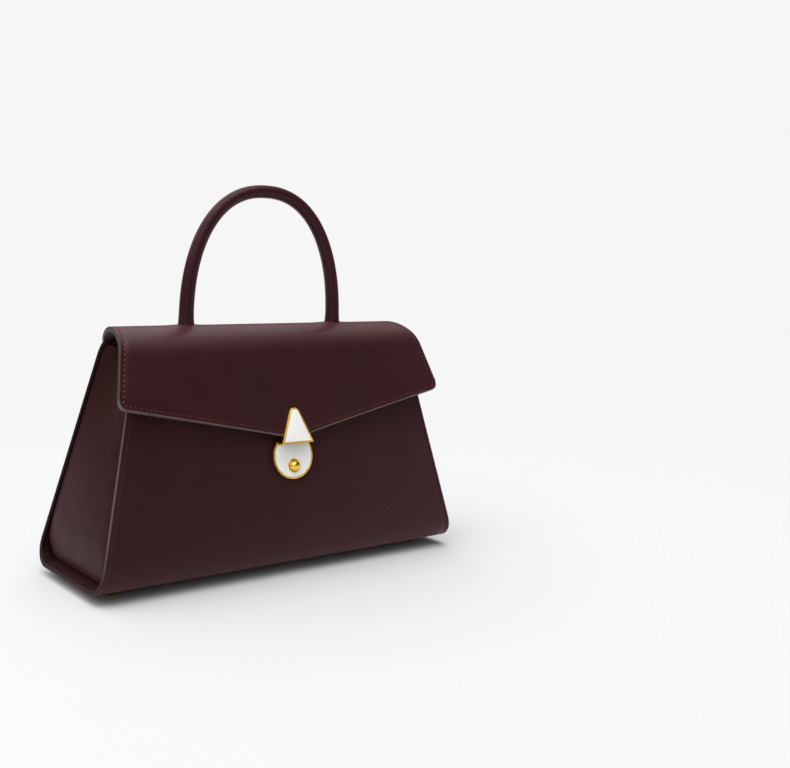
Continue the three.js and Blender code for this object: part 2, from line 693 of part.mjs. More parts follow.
const addTail = () => {
  addPiece(bag, 'flap_tail', tailLayer(0, FLAP_LEATHER, 0), LEATHER_FINISH);
  const depth = FLAP_LEATHER + LAYER_GAP;
  addPiece(bag, 'tail_padding', tailLayer(depth, flapThickness - depth, TAIL_PADDING_MARGIN), PADDING_FINISH);
};

// D-rings: each hangs by its bar in a leather tab sewn to the tail

const tabBore = DRING_WIRE + FIT_GAP;
const tabLoop = tabBore + TAB_LEATHER;
const barStand = FIT_GAP + tabLoop; // bar's centre off the tail
const ringStand = FIT_GAP + DRING_WIRE; // loop's centre line off the tail at its lower end

const dringHeight = WALL_HEIGHT + DRING_RISE;
const dringX = halfWidthAt(dringHeight) - DRING_INSET;

// A group on the tail: its own X runs along the bag, Y up the tail and Z into the bag
const tailGroup = (x) => {
  const group = new THREE.Group();
  group.position.set(x, tailSurface(dringHeight), dringHeight);
  group.rotation.x = Math.PI / 2 + wallAngle;
  bag.add(group);
  return group;
};

const dringGeometry = () => {
  const half = DRING_WIDTH / 2 - DRING_WIRE;
  const bend = half - DRING_BEND;
  const turn = (cx, cy, radius, from, to, steps) =>
    arc([cx, cy], radius, degrees(from), degrees(to), steps).map(({ point }) => point);
  const loop = [
    ...turn(bend, -DRING_BEND, DRING_BEND, 90, 0, DRING_BEND_STEPS),
    ...turn(0, half - DRING_DROP, half, 0, -180, DRING_STEPS),
    ...turn(-bend, -DRING_BEND, DRING_BEND, 180, 90, DRING_BEND_STEPS),
  ];
  const points = loop.map(([x, y]) => new THREE.Vector3(x, y, 0));
  const radii = points.map(() => DRING_WIRE);
  return tube(points, radii, new THREE.Vector3(0, 0, 1), DRING_SIDES, true);
};

const tabGeometry = () => {
  const shape = new THREE.Shape();
  const strap = 2 * TAB_LEATHER + FIT_GAP;
  shape.moveTo(TAB_RISE, -FIT_GAP);
  shape.lineTo(TAB_RISE, -strap);
  shape.lineTo(tabLoop, -strap);
  shape.lineTo(0, -barStand - tabLoop);
  shape.absarc(0, -barStand, tabLoop, -Math.PI / 2, -1.5 * Math.PI, true);
  const hole = new THREE.Path();
  hole.absarc(0, -barStand, tabBore, 0, 2 * Math.PI, false);
  shape.holes.push(hole);
  // Drawn as [up, out of the tail], then laid across the bag
  return plate(shape, -TAB_WIDTH / 2, TAB_WIDTH / 2).applyMatrix4(
    new THREE.Matrix4().makeBasis(
      new THREE.Vector3(0, 1, 0),
      new THREE.Vector3(0, 0, 1),
      new THREE.Vector3(1, 0, 0),
    ),
  );
};

const addDring = (name, x) => {
  const group = tailGroup(x);
  addPiece(group, `${name}_dring_tab`, tabGeometry(), LEATHER_FINISH);
  const hang = new THREE.Group();
  hang.position.z = -barStand;
  hang.rotation.x = -Math.asin((barStand - ringStand) / DRING_DROP);
  group.add(hang);
  addPiece(hang, `${name}_dring`, dringGeometry(), GOLD_FINISH);
};

// Lock on the front wall: depths are measured out of the wall

const discShape = () => {
  const horn = Math.sqrt(DISC_RADIUS ** 2 - notchHalf ** 2);
  const start = Math.atan2(horn, notchHalf);
  const shape = new THREE.Shape();
  shape.moveTo(-notchHalf, notchFloor);
  shape.lineTo(notchHalf, notchFloor);
  shape.lineTo(notchHalf, horn);
  shape.absarc(0, 0, DISC_RADIUS, start, Math.PI - start, true);
  return shape;
};

const enamelShape = (margin) => {
  const radius = DISC_RADIUS - RIM - margin;
  const start = Math.asin((notchFloor - RIM - margin) / radius);
  const shape = new THREE.Shape();
  shape.absarc(0, 0, radius, start, Math.PI - start, true);
  return shape;
};

const buttonCentre = DISC_DEPTH - ENAMEL_SINK;
const skirtEnd = buttonCentre - BUTTON_SKIRT;
const leafFront = -liningFace - LEAF_STAND;
const tongueEnd = leafFront + LAYER_GAP;
const leafBack = leafFront - LEAF;
const clipBack = leafBack - FIT_GAP - CLIP;
const stemEnd = clipBack - FIT_GAP;
const springBack = clipBack - FIT_GAP - SPRING_LENGTH;
const caseFront = -liningFace - FIT_GAP;
const caseBack = springBack - FIT_GAP;
const caseHalf = DISC_RADIUS - LOCK_SCREW_INSET - LOCK_SCREW_HEAD.radius - FIT_GAP;

const addLockDisc = () => {
  const well = skirtEnd - BUTTON_TRAVEL - FIT_GAP;
  const disc = plate(discShape(), FIT_GAP, DISC_DEPTH);
  const tools = [
    plate(enamelShape(0), DISC_DEPTH - ENAMEL_DEPTH, DISC_DEPTH + CUT_MARGIN),
    rod(BUTTON_RADIUS + FIT_GAP, well, DISC_DEPTH + CUT_MARGIN, 0, -BUTTON_DROP),
    rod(STEM_RADIUS + FIT_GAP, -CUT_MARGIN, DISC_DEPTH, 0, -BUTTON_DROP),
    ...lockScrewPlaces.map(({ x, y }) =>
      rod(LOCK_SCREW_RADIUS + LAYER_GAP, -CUT_MARGIN, LOCK_SCREW_GRIP + FIT_GAP, x, y)),
  ];
  addPiece(lock, 'lock_disc', cut(disc, tools), GOLD_FINISH);
  const enamelBack = DISC_DEPTH - ENAMEL_DEPTH + LAYER_GAP;
  const enamel = plate(enamelShape(LAYER_GAP), enamelBack, DISC_DEPTH - ENAMEL_SINK);
  const eye = rod(BUTTON_RADIUS + FIT_GAP, 0, DISC_DEPTH + CUT_MARGIN, 0, -BUTTON_DROP);
  addPiece(lock, 'lock_enamel', cut(enamel, [eye]), ENAMEL_FINISH);
};

const addLockCase = () => {
  const seat = caseFront - CASE_WALL;
  const high = windowHigh + CASE_MARGIN;
  const flange = DISC_RADIUS - LOCK_SCREW_INSET + FLANGE_MARGIN;
  const shell = join(
    block(-caseHalf, caseHalf, CASE_LOW, high, caseBack - CASE_WALL, caseFront),
    block(-flange, flange, LOCK_SCREW_RISE - FLANGE_HALF, LOCK_SCREW_RISE + FLANGE_HALF, seat, caseFront),
  );
  const inner = caseHalf - CASE_WALL;
  const hollow = block(-inner, inner, CASE_LOW + CASE_WALL, high - CASE_WALL, caseBack, CUT_MARGIN);
  const holes = lockScrewPlaces.map(({ x, y }) =>
    rod(LOCK_SCREW_RADIUS + LAYER_GAP, seat - CUT_MARGIN, CUT_MARGIN, x, y));
  addPiece(lock, 'lock_case', cut(shell, [hollow, ...holes]), STEEL_FINISH);
  lockScrewPlaces.forEach(({ name, x, y }) => {
    const screw = headed(LOCK_SCREW_HEAD, seat - FIT_GAP, LOCK_SCREW_RADIUS, LOCK_SCREW_GRIP);
    addPiece(lock, `${name}_lock_screw`, screw.translate(x, y, 0), STEEL_FINISH);
  });
};

class Helix extends THREE.Curve {
  getPoint(share, target = new THREE.Vector3()) {
    const turn = 2 * Math.PI * SPRING_TURNS * share;
    return target.set(
      SPRING_RADIUS * Math.cos(turn),
      SPRING_RADIUS * Math.sin(turn),
      lerp(SPRING_WIRE, SPRING_LENGTH - SPRING_WIRE, share),
    );
  }
}

const addLatch = () => {
  const dome = arc([0, buttonCentre], BUTTON_RADIUS, 0, Math.PI / 2, CURVE_STEPS).map(({ point }) => point);
  const button = turned([
    [0, stemEnd],
    [STEM_END_RADIUS, stemEnd],
    [STEM_END_RADIUS, leafFront + FIT_GAP],
    [STEM_RADIUS, leafFront + FIT_GAP],
    [STEM_RADIUS, skirtEnd],
    [BUTTON_RADIUS, skirtEnd],
    ...dome.slice(0, -1),
    [0, buttonCentre + BUTTON_RADIUS],
  ]);
  addPiece(lock, 'lock_button', button.translate(0, -BUTTON_DROP, 0), GOLD_FINISH);

  const noseLow = tongueHigh + FIT_GAP;
  const noseHigh = noseLow + NOSE_HEIGHT;
  const strip = block(-LEAF_HALF, LEAF_HALF, -BUTTON_DROP - CLIP_RADIUS, noseHigh, leafBack, leafFront);
  const nose = block(-LEAF_HALF, LEAF_HALF, noseLow, noseHigh, leafBack, leafFront + NOSE_REACH);
  const eyeRadius = STEM_END_RADIUS + LAYER_GAP;
  const eye = rod(eyeRadius, leafBack - CUT_MARGIN, leafFront + CUT_MARGIN, 0, -BUTTON_DROP);
  addPiece(lock, 'latch_leaf', cut(join(strip, nose), [eye]), STEEL_FINISH);

  const clip = ring(eyeRadius, CLIP_RADIUS, clipBack, clipBack + CLIP);
  addPiece(lock, 'latch_clip', clip.translate(0, -BUTTON_DROP, 0), STEEL_FINISH);

  const wire = new THREE.Shape();
  wire.absarc(0, 0, SPRING_WIRE, 0, 2 * Math.PI, false);
  const steps = SPRING_STEPS * SPRING_TURNS;
  const spring = new THREE.ExtrudeGeometry(wire, { extrudePath: new Helix(), steps, curveSegments: 3 });
  addPiece(lock, 'return_spring', spring.translate(0, -BUTTON_DROP, springBack), STEEL_FINISH);
};

// Clasp: a triangle on the flap's tip, its catch plate behind, and the tongue that enters the lock

const triangleShape = (margin) => {
  const half = CLASP_BASE / 2;
  const apex = CLASP_LENGTH - CLASP_NOSE; // centre of the rounded apex above the base edge
  const reach = Math.hypot(half, apex);
  const slope = Math.acos(CLASP_NOSE / reach) - Math.atan2(apex, half); // of the side's outward normal
  const foot = half - margin / Math.cos(slope) - margin * Math.tan(slope);
  const shape = new THREE.Shape();
  shape.moveTo(-foot, margin - CLASP_DROP);
  shape.lineTo(foot, margin - CLASP_DROP);
  shape.absarc(0, apex - CLASP_DROP, CLASP_NOSE - margin, slope, Math.PI - slope, false);
  return shape;
};

const addClasp = () => {
  const front = FIT_GAP + CLASP_DEPTH;
  const enamelBack = front - ENAMEL_DEPTH;
  const rivetTop = enamelBack - FIT_GAP;
  const frame = cut(plate(triangleShape(0), FIT_GAP, front), [
    plate(triangleShape(RIM), enamelBack, front + CUT_MARGIN),
    ...rivets.map(([, x]) => rod(RIVET_RADIUS + LAYER_GAP, -CUT_MARGIN, rivetTop + LAYER_GAP, x, RIVET_RISE)),
  ]);
  addPiece(clasp, 'clasp_triangle', frame, GOLD_FINISH);
  const enamel = plate(triangleShape(RIM + LAYER_GAP), enamelBack + LAYER_GAP, front - ENAMEL_SINK);
  addPiece(clasp, 'clasp_enamel', enamel, ENAMEL_FINISH);

  // The catch plate lies behind the flap's lining and runs down to the tongue
  const plateTop = -flapThickness - FIT_GAP;
  const [outward, upward] = [2, 1].map((axis) => new THREE.Vector3().setFromMatrixColumn(clasp.matrix, axis));
  const [lockOut, lockUp] = [2, 1].map((axis) => new THREE.Vector3().setFromMatrixColumn(lock.matrix, axis));
  const base = lock.position.clone().addScaledVector(lockUp, tongueLow).sub(clasp.position);
  const rootDepth = (plateTop - CATCH / 2 - base.dot(outward)) / lockOut.dot(outward);
  const plateLow = base.addScaledVector(lockOut, rootDepth).dot(upward) - CATCH / 2;
  const holes = rivets.map(([, x]) =>
    rod(RIVET_RADIUS + LAYER_GAP, plateTop - CATCH - CUT_MARGIN, plateTop + CUT_MARGIN, x, RIVET_RISE));
  const blank = block(-CATCH_HALF, CATCH_HALF, plateLow, CATCH_RISE, plateTop - CATCH, plateTop);
  const catchPlate = cut(blank, holes);
  const tongue = block(-TONGUE_HALF, TONGUE_HALF, tongueLow, tongueHigh, tongueEnd, rootDepth);
  addPiece(bag, 'clasp_catch', join(inBag(clasp, catchPlate), inBag(lock, tongue)), STEEL_FINISH);

  rivets.forEach(([name, x]) => {
    const rivet = headed(RIVET_HEAD, plateTop - CATCH - FIT_GAP, RIVET_RADIUS, rivetTop);
    addPiece(clasp, `${name}_clasp_rivet`, rivet.translate(x, RIVET_RISE, 0), STEEL_FINISH);
  });
};

// Handle: a leather cover rolled round a core, screwed on from under the flap

const handleBase = archHeight + FIT_GAP;

const handlePath = () => {
  const power = 2 / HANDLE_SQUARENESS;
  const springing = handleBase + HANDLE_STRAIGHT;
  const bow = Array.from({ length: HANDLE_STEPS + 1 }, (_, i) => {
    const turn = (Math.PI * i) / HANDLE_STEPS;
    const [across, up] = [Math.cos(turn), Math.sin(turn)];
    const x = Math.sign(across) * HANDLE_HALF * Math.abs(across) ** power;
    return new THREE.Vector3(x, 0, springing + HANDLE_RISE * Math.max(up, 0) ** power);
  });
  const start = new THREE.Vector3(HANDLE_HALF, 0, handleBase);
  const end = new THREE.Vector3(-HANDLE_HALF, 0, handleBase);
  return [start, ...bow, end];
};

const handleTube = (inset) => {
  const points = handlePath();
  const radii = points.map(({ z }) => {
    const share = (z - handleBase) / (HANDLE_STRAIGHT + HANDLE_RISE);
    return lerp(HANDLE_LEG_RADIUS, HANDLE_TOP_RADIUS, share) - inset;
  });
  return tube(points, radii, new THREE.Vector3(0, 1, 0), ROUND_SIDES, false);
};

const addHandle = () => {
  addPiece(bag, 'handle_cover', cut(handleTube(0), [handleTube(HANDLE_COVER)]), LEATHER_FINISH);
  const pockets = legs.map(([, x]) =>
    rod(INSERT_RADIUS + FIT_GAP, handleBase - CUT_MARGIN, handleBase + INSERT_LENGTH + FIT_GAP, x, 0));
  addPiece(bag, 'handle_core', cut(handleTube(HANDLE_COVER + LAYER_GAP), pockets), PADDING_FINISH);

  const innerRadius = archRadius - flapThickness;
  const sag = innerRadius - Math.sqrt(innerRadius ** 2 - HANDLE_WASHER_RADIUS ** 2);
  const washerTop = archHeight - flapThickness - sag - FIT_GAP;
  const washerLow = washerTop - HANDLE_WASHER;
  const screwTop = handleBase + HANDLE_SCREW_REACH;
  legs.forEach(([name, x]) => {
    const thread = rod(HANDLE_SCREW_RADIUS + LAYER_GAP, handleBase - CUT_MARGIN, screwTop + FIT_GAP);
    const insert = cut(rod(INSERT_RADIUS, handleBase, handleBase + INSERT_LENGTH), [thread]);
    addPiece(bag, `${name}_handle_insert`, insert.translate(x, 0, 0), STEEL_FINISH);
    const washer = ring(HANDLE_SCREW_RADIUS + LAYER_GAP, HANDLE_WASHER_RADIUS, washerLow, washerTop);
    addPiece(bag, `${name}_handle_washer`, washer.translate(x, 0, 0), STEEL_FINISH);
    const screw = headed(HANDLE_SCREW_HEAD, washerLow - FIT_GAP, HANDLE_SCREW_RADIUS, screwTop);
    addPiece(bag, `${name}_handle_screw`, screw.translate(x, 0, 0), STEEL_FINISH);
  });
};

addBody();
addGusset('left', -1);
addGusset('right', 1);
addFeet();
addTail();
addDring('left', -dringX);
addDring('right', dringX);
addLockDisc();
addLockCase();
addLatch();
addFlap();
addClasp();
addHandle();

const satchel = new THREE.Group();
satchel.add(bag);

export default satchel;
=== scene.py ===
# Top handle satchel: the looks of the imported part, in its own frame. Metres, +Z up, the front faces -Y.

import json
from math import acos, asin, atan, atan2, copysign, cos, dist, exp, hypot, pi, radians, sin, sqrt, tan

import bpy
from mathutils import Matrix, Vector


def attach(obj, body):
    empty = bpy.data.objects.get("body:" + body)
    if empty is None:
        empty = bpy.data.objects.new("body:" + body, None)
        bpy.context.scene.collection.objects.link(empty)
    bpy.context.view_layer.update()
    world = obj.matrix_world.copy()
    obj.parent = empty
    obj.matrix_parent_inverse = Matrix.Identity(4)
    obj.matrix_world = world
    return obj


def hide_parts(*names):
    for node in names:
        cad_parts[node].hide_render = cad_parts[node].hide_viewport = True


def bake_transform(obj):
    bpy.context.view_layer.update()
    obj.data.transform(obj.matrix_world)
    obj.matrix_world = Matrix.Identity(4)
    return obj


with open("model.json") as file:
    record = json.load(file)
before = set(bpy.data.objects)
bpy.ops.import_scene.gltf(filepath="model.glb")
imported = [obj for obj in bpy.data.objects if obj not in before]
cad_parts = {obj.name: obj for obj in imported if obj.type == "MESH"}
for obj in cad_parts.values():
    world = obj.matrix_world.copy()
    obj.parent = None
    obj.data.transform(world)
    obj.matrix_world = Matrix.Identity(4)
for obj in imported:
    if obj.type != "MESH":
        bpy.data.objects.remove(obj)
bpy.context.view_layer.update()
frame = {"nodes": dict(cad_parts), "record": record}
scene = bpy.context.scene
SIDES = ((-1, "left"), (1, "right"))

# Body
FEET = 0.006  # height of the base over the floor
BASE_HALF = 0.145  # half width of the base
SIDE_LEAN = 0.23
DEPTH_HALF = 0.053
WALL_LEAN = 0.18
CORNER = 0.015  # bend between base and wall
WALL_TOP = 0.146  # height that the flap's sizes start from
LIP_START = 0.150  # where the lips begin to turn in
LIP_RADIUS = 0.018
LIP_TURN = radians(34)
WRAP = 0.0018  # leather of the walls
WRAP_BEVEL = 0.00035
WALL_PILLOW = 0.0007  # how far the padding swells a wall
PILLOW_REACH = 0.010
PILLOW_START = (1.6, 2.25)  # stations over which it comes in
PILLOW_END = (2.7, 3.1)
RIM_SEAM = 0.0034  # stitches inside the rim
RIM_SEAM_END = 3.2  # station on the lip
GROOVE = 0.00035  # depth of a seam
GROOVE_REACH = 0.0011
COAT = 0.0005  # paint on the wrap's edges
COAT_STAND = 0.0002  # its face past the leather's edge
COAT_SWELL = 0.0003
COAT_EDGES = (0.0002, WRAP + 0.0001)

# Gussets
FLANGE = 0.0033  # inner face of the sewn edge, in from the wrap's outer face
GUSSET_DEPTH = 0.0011  # face inside the rims
GUSSET_FOOT = 0.0042  # the same above the base
FOOT_FADE = (0.02, 0.22)  # heights as a share of the gusset's
GUSSET_TUCK = 0.002  # how far the face draws in at its foot
TUCK_END = 0.14
GUSSET_DIP = 0.004
GUSSET_PINCH = 0.005  # how far its top middle is drawn in
PINCH_START = 0.5
GUSSET_SWELL = 0.0012
SWELL_END = 0.75
VALLEY_BASE = 0.0064  # crease round the face, below it
VALLEY_SIDE = 0.0004
VALLEY_END = (2.8, 3.8)  # stations over which it runs out
ROLL_BASE = 0.0085  # rounding of the face's edge
ROLL_SIDE = 0.010
BASE_FADE = (1.2, 2.3)  # stations between base and side
GUSSET_SPINE = 0.05  # lower end of its middle line
GUSSET_LEATHER = 0.0015

# Inside
FACING_LOW = 0.1335
FACING_FACE = WRAP + 0.0012  # in from the wrap's outer face
FACING = 0.0011
LIP_SEAM = 3.86  # station on the lip
LIP_SEAM_HALF = 0.104
LINING_TOP = 0.1356  # sewn over the facings' lower edges
LINING_FACE = 0.0054  # in from the wrap's outer face
LINING_HEM = 0.0051  # the same where it lies on a facing
HEM_REACH = 0.06  # in stations
LINING = 0.0008
LINING_SAG = 0.0006
SAG_START = (2.0, 2.3)  # stations over which it comes in
INNER_MARGIN = 0.0106  # lining's ends inside the rims, on the base
SIDE_MARGIN = 0.0065  # the same up the walls
MARGIN_FADE = (2.1, 2.5)  # stations between the two
GUSSET_CLOTH = 0.0006
GUSSET_CLOTH_FACE = 0.0016  # behind the gusset's face
CLOTH_LOWER = 0.0004  # its top below the lining's

# Flap
FLAP = 0.003
FLAP_BEVEL = 0.0005
FLAP_SEAM = 0.003
FLAP_CORNER = 0.006  # rounding of the front corners
CROWN = 0.0026
REAR_SHOULDER = 0.0078  # radii below the walls' half depth
FRONT_SHOULDER = 0.0058
SHOULDER_RISE = 0.00544
FRONT_STAND = 0.0042
FOLD_ANGLE = radians(38)
FOLD_HALF = 0.109
CORNER_HALF = 0.130
TIP_DROP = 0.0502
TIP_STAND = 0.00996
SIDE_DROP = 0.02255
SIDE_STAND = 0.01234
TIP_FLATNESS = 3.3
TAIL_GAP = 0.0002
TAIL_LOW = 0.13015
TAIL_HALF = 0.0976
TAIL_CORNER = 0.009
TAIL_MARGIN = 0.0068  # flat sewn edge round the padding
TAIL_SLOPE = (-0.001, 0.0018)  # where the padding rises, round that margin
TAIL_PILLOW = 0.0017
TENT = 0.0009  # leather drawn up round the handle's ends
TENT_REACH = 0.009

# Handle
HANDLE_HALF = 0.0607
HANDLE_RISE = 0.09
HANDLE_STRAIGHT = 0.002
HANDLE_SQUARENESS = 2.25
HANDLE_GAP = 0.0003
HANDLE_SINK = 0.0012  # its ends go into the flap
LEG_RADIUS = 0.0051
TOP_RADIUS = 0.0045
FLARE = 0.0006  # leather pressed out at the ends
FLARE_REACH = 0.0025
SEAM_TURN = radians(215)  # butted seam's place round the roll, from its outer side
SEAM_DEPTH = 0.0003
SEAM_WIDTH = 0.07
SEAM_COLUMNS = [0.0, 0.04, 0.08, 0.13, 0.2]  # angles beside the seam
SEAM_ZONE = 0.35

# Thread
STITCH_PITCH = 0.0035
STITCH_SHARE = 0.5  # of the pitch, the rest is the gap between two holes
STITCH_BLUNT = 1.5
STITCH_RISE = 0.0001  # a seam's line over the leather, where it isn't on the surface
THREAD = 0.0005
EDGE_THREAD = 0.00045
RIM_THREAD = 0.0004
HOLE_RISE = 0.0002  # how far the dark dot of painted shadow in a needle hole stands over the leather
HOLE_START = 0.03  # shares of the pitch
HOLE_LENGTH = 0.2
HOLE_WIDTH = 0.8  # share of the thread

# Bevels
LEATHER_BEVEL = 0.0003
CLOTH_BEVEL = 0.0002
METAL_BEVEL = 0.0003
BALL_BEVEL = 0.0002
ENAMEL_BEVEL = 0.0002


def mix(a, b, share):
    return a + (b - a) * share


def ease(low, high, value):
    share = min(max((value - low) / (high - low), 0), 1)
    return share * share * (3 - 2 * share)


def bell(value, reach):
    return exp(-((value / reach) ** 2))


def polar(centre, radius, angle):
    return (centre[0] + radius * cos(angle), centre[1] + radius * sin(angle))


def steps(start, end, count):
    return [mix(start, end, i / count) for i in range(count + 1)]


# Section of the body

def half_width(z):
    return BASE_HALF - SIDE_LEAN * (z - FEET)


def half_depth(z):
    return DEPTH_HALF - WALL_LEAN * (z - FEET)


wall_angle = atan(WALL_LEAN)
corner_centre = (half_depth(FEET + CORNER) - CORNER / cos(wall_angle), FEET + CORNER)
wall_low = polar(corner_centre, CORNER, wall_angle)[1]
lip_centre = polar((half_depth(LIP_START), LIP_START), -LIP_RADIUS, wall_angle)


def body_section(station):
    """Outer point and its normal's angle.

    Stations: 0 to 1 along the base, to 2 round the corner, to 3 up the wall, to 4 over the lip.
    """
    part = min(int(station), 3)
    share = station - part
    if part == 0:
        return (corner_centre[0] * share, FEET), -pi / 2
    if part == 1:
        angle = mix(-pi / 2, wall_angle, share)
        return polar(corner_centre, CORNER, angle), angle
    if part == 2:
        z = mix(wall_low, LIP_START, share)
        return (half_depth(z), z), wall_angle
    angle = wall_angle + LIP_TURN * share
    return polar(lip_centre, LIP_RADIUS, angle), angle


def body_point(station, inset):
    """On the rear half for a station above zero, on the front half below."""
    point, angle = body_section(abs(station))
    y, z = polar(point, -inset, angle)
    return (copysign(y, station) if station else 0.0, z)


def wall_station(z):
    return 2 + (z - wall_low) / (LIP_START - wall_low)


half_line = steps(0, 1, 6) + steps(1, 2, 8)[1:] + steps(2, 3, 24)[1:] + steps(3, 4, 6)[1:]
body_line = half_line[::-1] + [-station for station in half_line[1:]]


def line_below(top):
    """The body's stations from a height on the rear wall to the same on the front wall."""
    return [top] + [station for station in body_line if abs(station) < top] + [-top]


# Section of the flap

rear_radius = half_depth(WALL_TOP) - REAR_SHOULDER
front_radius = half_depth(WALL_TOP) - FRONT_SHOULDER
shoulder_low = WALL_TOP + SHOULDER_RISE
tail_stand = (FLAP + TAIL_GAP) / cos(wall_angle)


def tail_surface(z):
    return half_depth(z) + tail_stand


rear_centre = polar((tail_surface(shoulder_low), shoulder_low), -rear_radius, wall_angle)
arch_top = rear_centre[1] + rear_radius + CROWN
arch_radius = rear_radius + rear_centre[0] ** 2 / (2 * CROWN) + CROWN / 2
arch_centre = (0.0, arch_top - arch_radius)
rear_join = atan2(rear_centre[1] - arch_centre[1], rear_centre[0])
front_reach = half_depth(WALL_TOP) + FRONT_STAND - front_radius
front_join = pi / 2 + asin(front_reach / (arch_radius - front_radius))
front_centre = polar(arch_centre, arch_radius - front_radius, front_join)
fold_point = polar(rear_centre, rear_radius, FOLD_ANGLE)
tip_height = WALL_TOP - TIP_DROP
tip = (-half_depth(tip_height) - TIP_STAND, tip_height)
side_height = WALL_TOP - SIDE_DROP
side_corner = (-half_depth(side_height) - SIDE_STAND, side_height)


def flap_front(across):
    """Angle at which the straight front leaves the shoulder, with the straight's two ends."""
    reach = abs(across)
    retreat = 1 - (1 - reach) ** TIP_FLATNESS
    end = (mix(tip[0], side_corner[0], retreat), mix(tip[1], side_corner[1], reach))
    dy, dz = end[0] - front_centre[0], end[1] - front_centre[1]
    bearing = atan2(dz, dy) + 2 * pi
    angle = bearing - acos(front_radius / hypot(dy, dz))
    return angle, polar(front_centre, front_radius, angle), end


def flap_section(across, station):
    """Point, normal's angle and share of the length.

    Stations: 0 is the fold, 1 and 2 are the arch's ends, 3 to 4 is the straight front.
    """
    angle, start, end = flap_front(across)
    arcs = [
        (rear_centre, rear_radius, FOLD_ANGLE, rear_join),
        (arch_centre, arch_radius, rear_join, front_join),
        (front_centre, front_radius, front_join, angle),
    ]
    straight = dist(start, end)
    lengths = [radius * (last - first) for _, radius, first, last in arcs] + [straight]
    part = min(int(station), 3)
    along = station - part
    share = (sum(lengths[:part]) + along * lengths[part]) / sum(lengths)
    if part == 3:
        point = (mix(start[0], end[0], along), mix(start[1], end[1], along))
        return point, angle, share
    centre, radius, first, last = arcs[part]
    turn = mix(first, last, along)
    return polar(centre, radius, turn), turn, share


# Modelling

def fresh():
    if bpy.context.object and bpy.context.object.mode != "OBJECT":
        done()
    bpy.ops.object.select_all(action="DESELECT")


def use(piece):
    fresh()
    piece.select_set(True)
    bpy.context.view_layer.objects.active = piece


def edit(piece, action="SELECT"):
    """Opens a piece in edit mode, with all of it selected or nothing."""
    use(piece)
    bpy.ops.object.mode_set(mode="EDIT")
    bpy.ops.mesh.select_all(action=action)


def done():
    bpy.ops.object.mode_set(mode="OBJECT")


def turn_out():
    bpy.ops.mesh.normals_make_consistent(inside=False)


def push(z):
    """Extrudes what is selected along Z."""
    bpy.ops.mesh.extrude_region_move(TRANSFORM_OT_translate={"value": (0, 0, z)})


def named(name, *materials):
    piece = bpy.context.object
    piece.name = name
    piece.data.name = name
    for material in materials:
        piece.data.materials.append(material)
    return piece


def loft(name, rows, columns, place, *materials):
    """A grid whose points go where place puts them."""
    fresh()
    bpy.ops.mesh.primitive_grid_add(
        x_subdivisions=len(columns) - 1, y_subdivisions=len(rows) - 1, size=1)
    piece = named(name, *materials)
    for i, vertex in enumerate(piece.data.vertices):
        row, column = divmod(i, len(columns))
        vertex.co = place(rows[row], columns[column])
    return piece


def apply(piece, kind, **settings):
    use(piece)
    modifier = piece.modifiers.new(kind.title(), kind)
    for key, value in settings.items():
        setattr(modifier, key, value)
    bpy.ops.object.modifier_apply(modifier=modifier.name)
    return piece


def thicken(piece, thickness, inner=0, rim=0, even=True, offset=-1):
    return apply(piece, "SOLIDIFY", thickness=thickness, offset=offset, use_even_offset=even,
                 material_offset=inner, material_offset_rim=rim)


def soften(piece, width, segments=2, material=-1):
    apply(piece, "BEVEL", width=width, segments=segments, limit_method="ANGLE",
          angle_limit=radians(50), material=material)
    return smooth(piece)


def smooth(piece, angle=50):
    use(piece)
    bpy.ops.object.shade_smooth_by_angle(angle=radians(angle))
    return piece


def weld(piece, reach=1e-6, solid=True):
    """Merges doubled points; a solid's faces are turned outwards, a sheet's keep their sides."""
    edit(piece)
    bpy.ops.mesh.remove_doubles(threshold=reach)
    if solid:
        turn_out()
    done()
    return piece


def pick(piece, kind, test):
    """Selects faces or edges by their place, in edit mode."""
    edit(piece, "DESELECT")
    bpy.ops.mesh.select_mode(type=kind)
    done()
    for item in piece.data.edges if kind == "EDGE" else piece.data.polygons:
        item.select = test(item)
    bpy.ops.object.mode_set(mode="EDIT")


def cut(piece, tool):
    """Takes the tool's shape out of the piece."""
    apply(piece, "BOOLEAN", operation="DIFFERENCE", object=tool, solver="EXACT")
    bpy.data.objects.remove(tool)
    return piece


def joined(name, parts):
    fresh()
    for part in parts:
        part.select_set(True)
    bpy.context.view_layer.objects.active = parts[0]
    bpy.ops.object.join()
    parts[0].name = name
    return parts[0]


def block(low, high, place):
    fresh()
    bpy.ops.mesh.primitive_cube_add(size=1)
    piece = bpy.context.object
    centre = (Vector(low) + Vector(high)) / 2
    size = Vector(high) - Vector(low)
    piece.data.transform(place @ Matrix.Translation(centre) @ Matrix.Diagonal((*size, 1)))
    return piece


def drum(radius, low, high, y=0, sides=96):
    fresh()
    bpy.ops.mesh.primitive_cylinder_add(
        vertices=sides, radius=radius, depth=high - low, location=(0, y, (low + high) / 2))
    bpy.ops.object.transform_apply()
    return bpy.context.object


def line_curve(points, cyclic=False):
    curve = bpy.data.curves.new("line", "CURVE")
    curve.dimensions = "3D"
    spline = curve.splines.new("POLY")
    spline.points.add(len(points) - 1)
    for spot, point in zip(spline.points, points):
        spot.co = (*point, 1)
    spline.use_cyclic_u = cyclic
    piece = bpy.data.objects.new("line", curve)
    scene.collection.objects.link(piece)
    return piece


def settle(piece, slot, *nodes, body="bag_body"):
    """Ties a finished piece to its body and hides the solids that it stands for; the slot is not used.

    What runs over the fold is left where it is, tied to no body.
    """
    if body == "fold":
        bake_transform(piece)
    else:
        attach(piece, body)
    if nodes:
        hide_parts(*nodes)


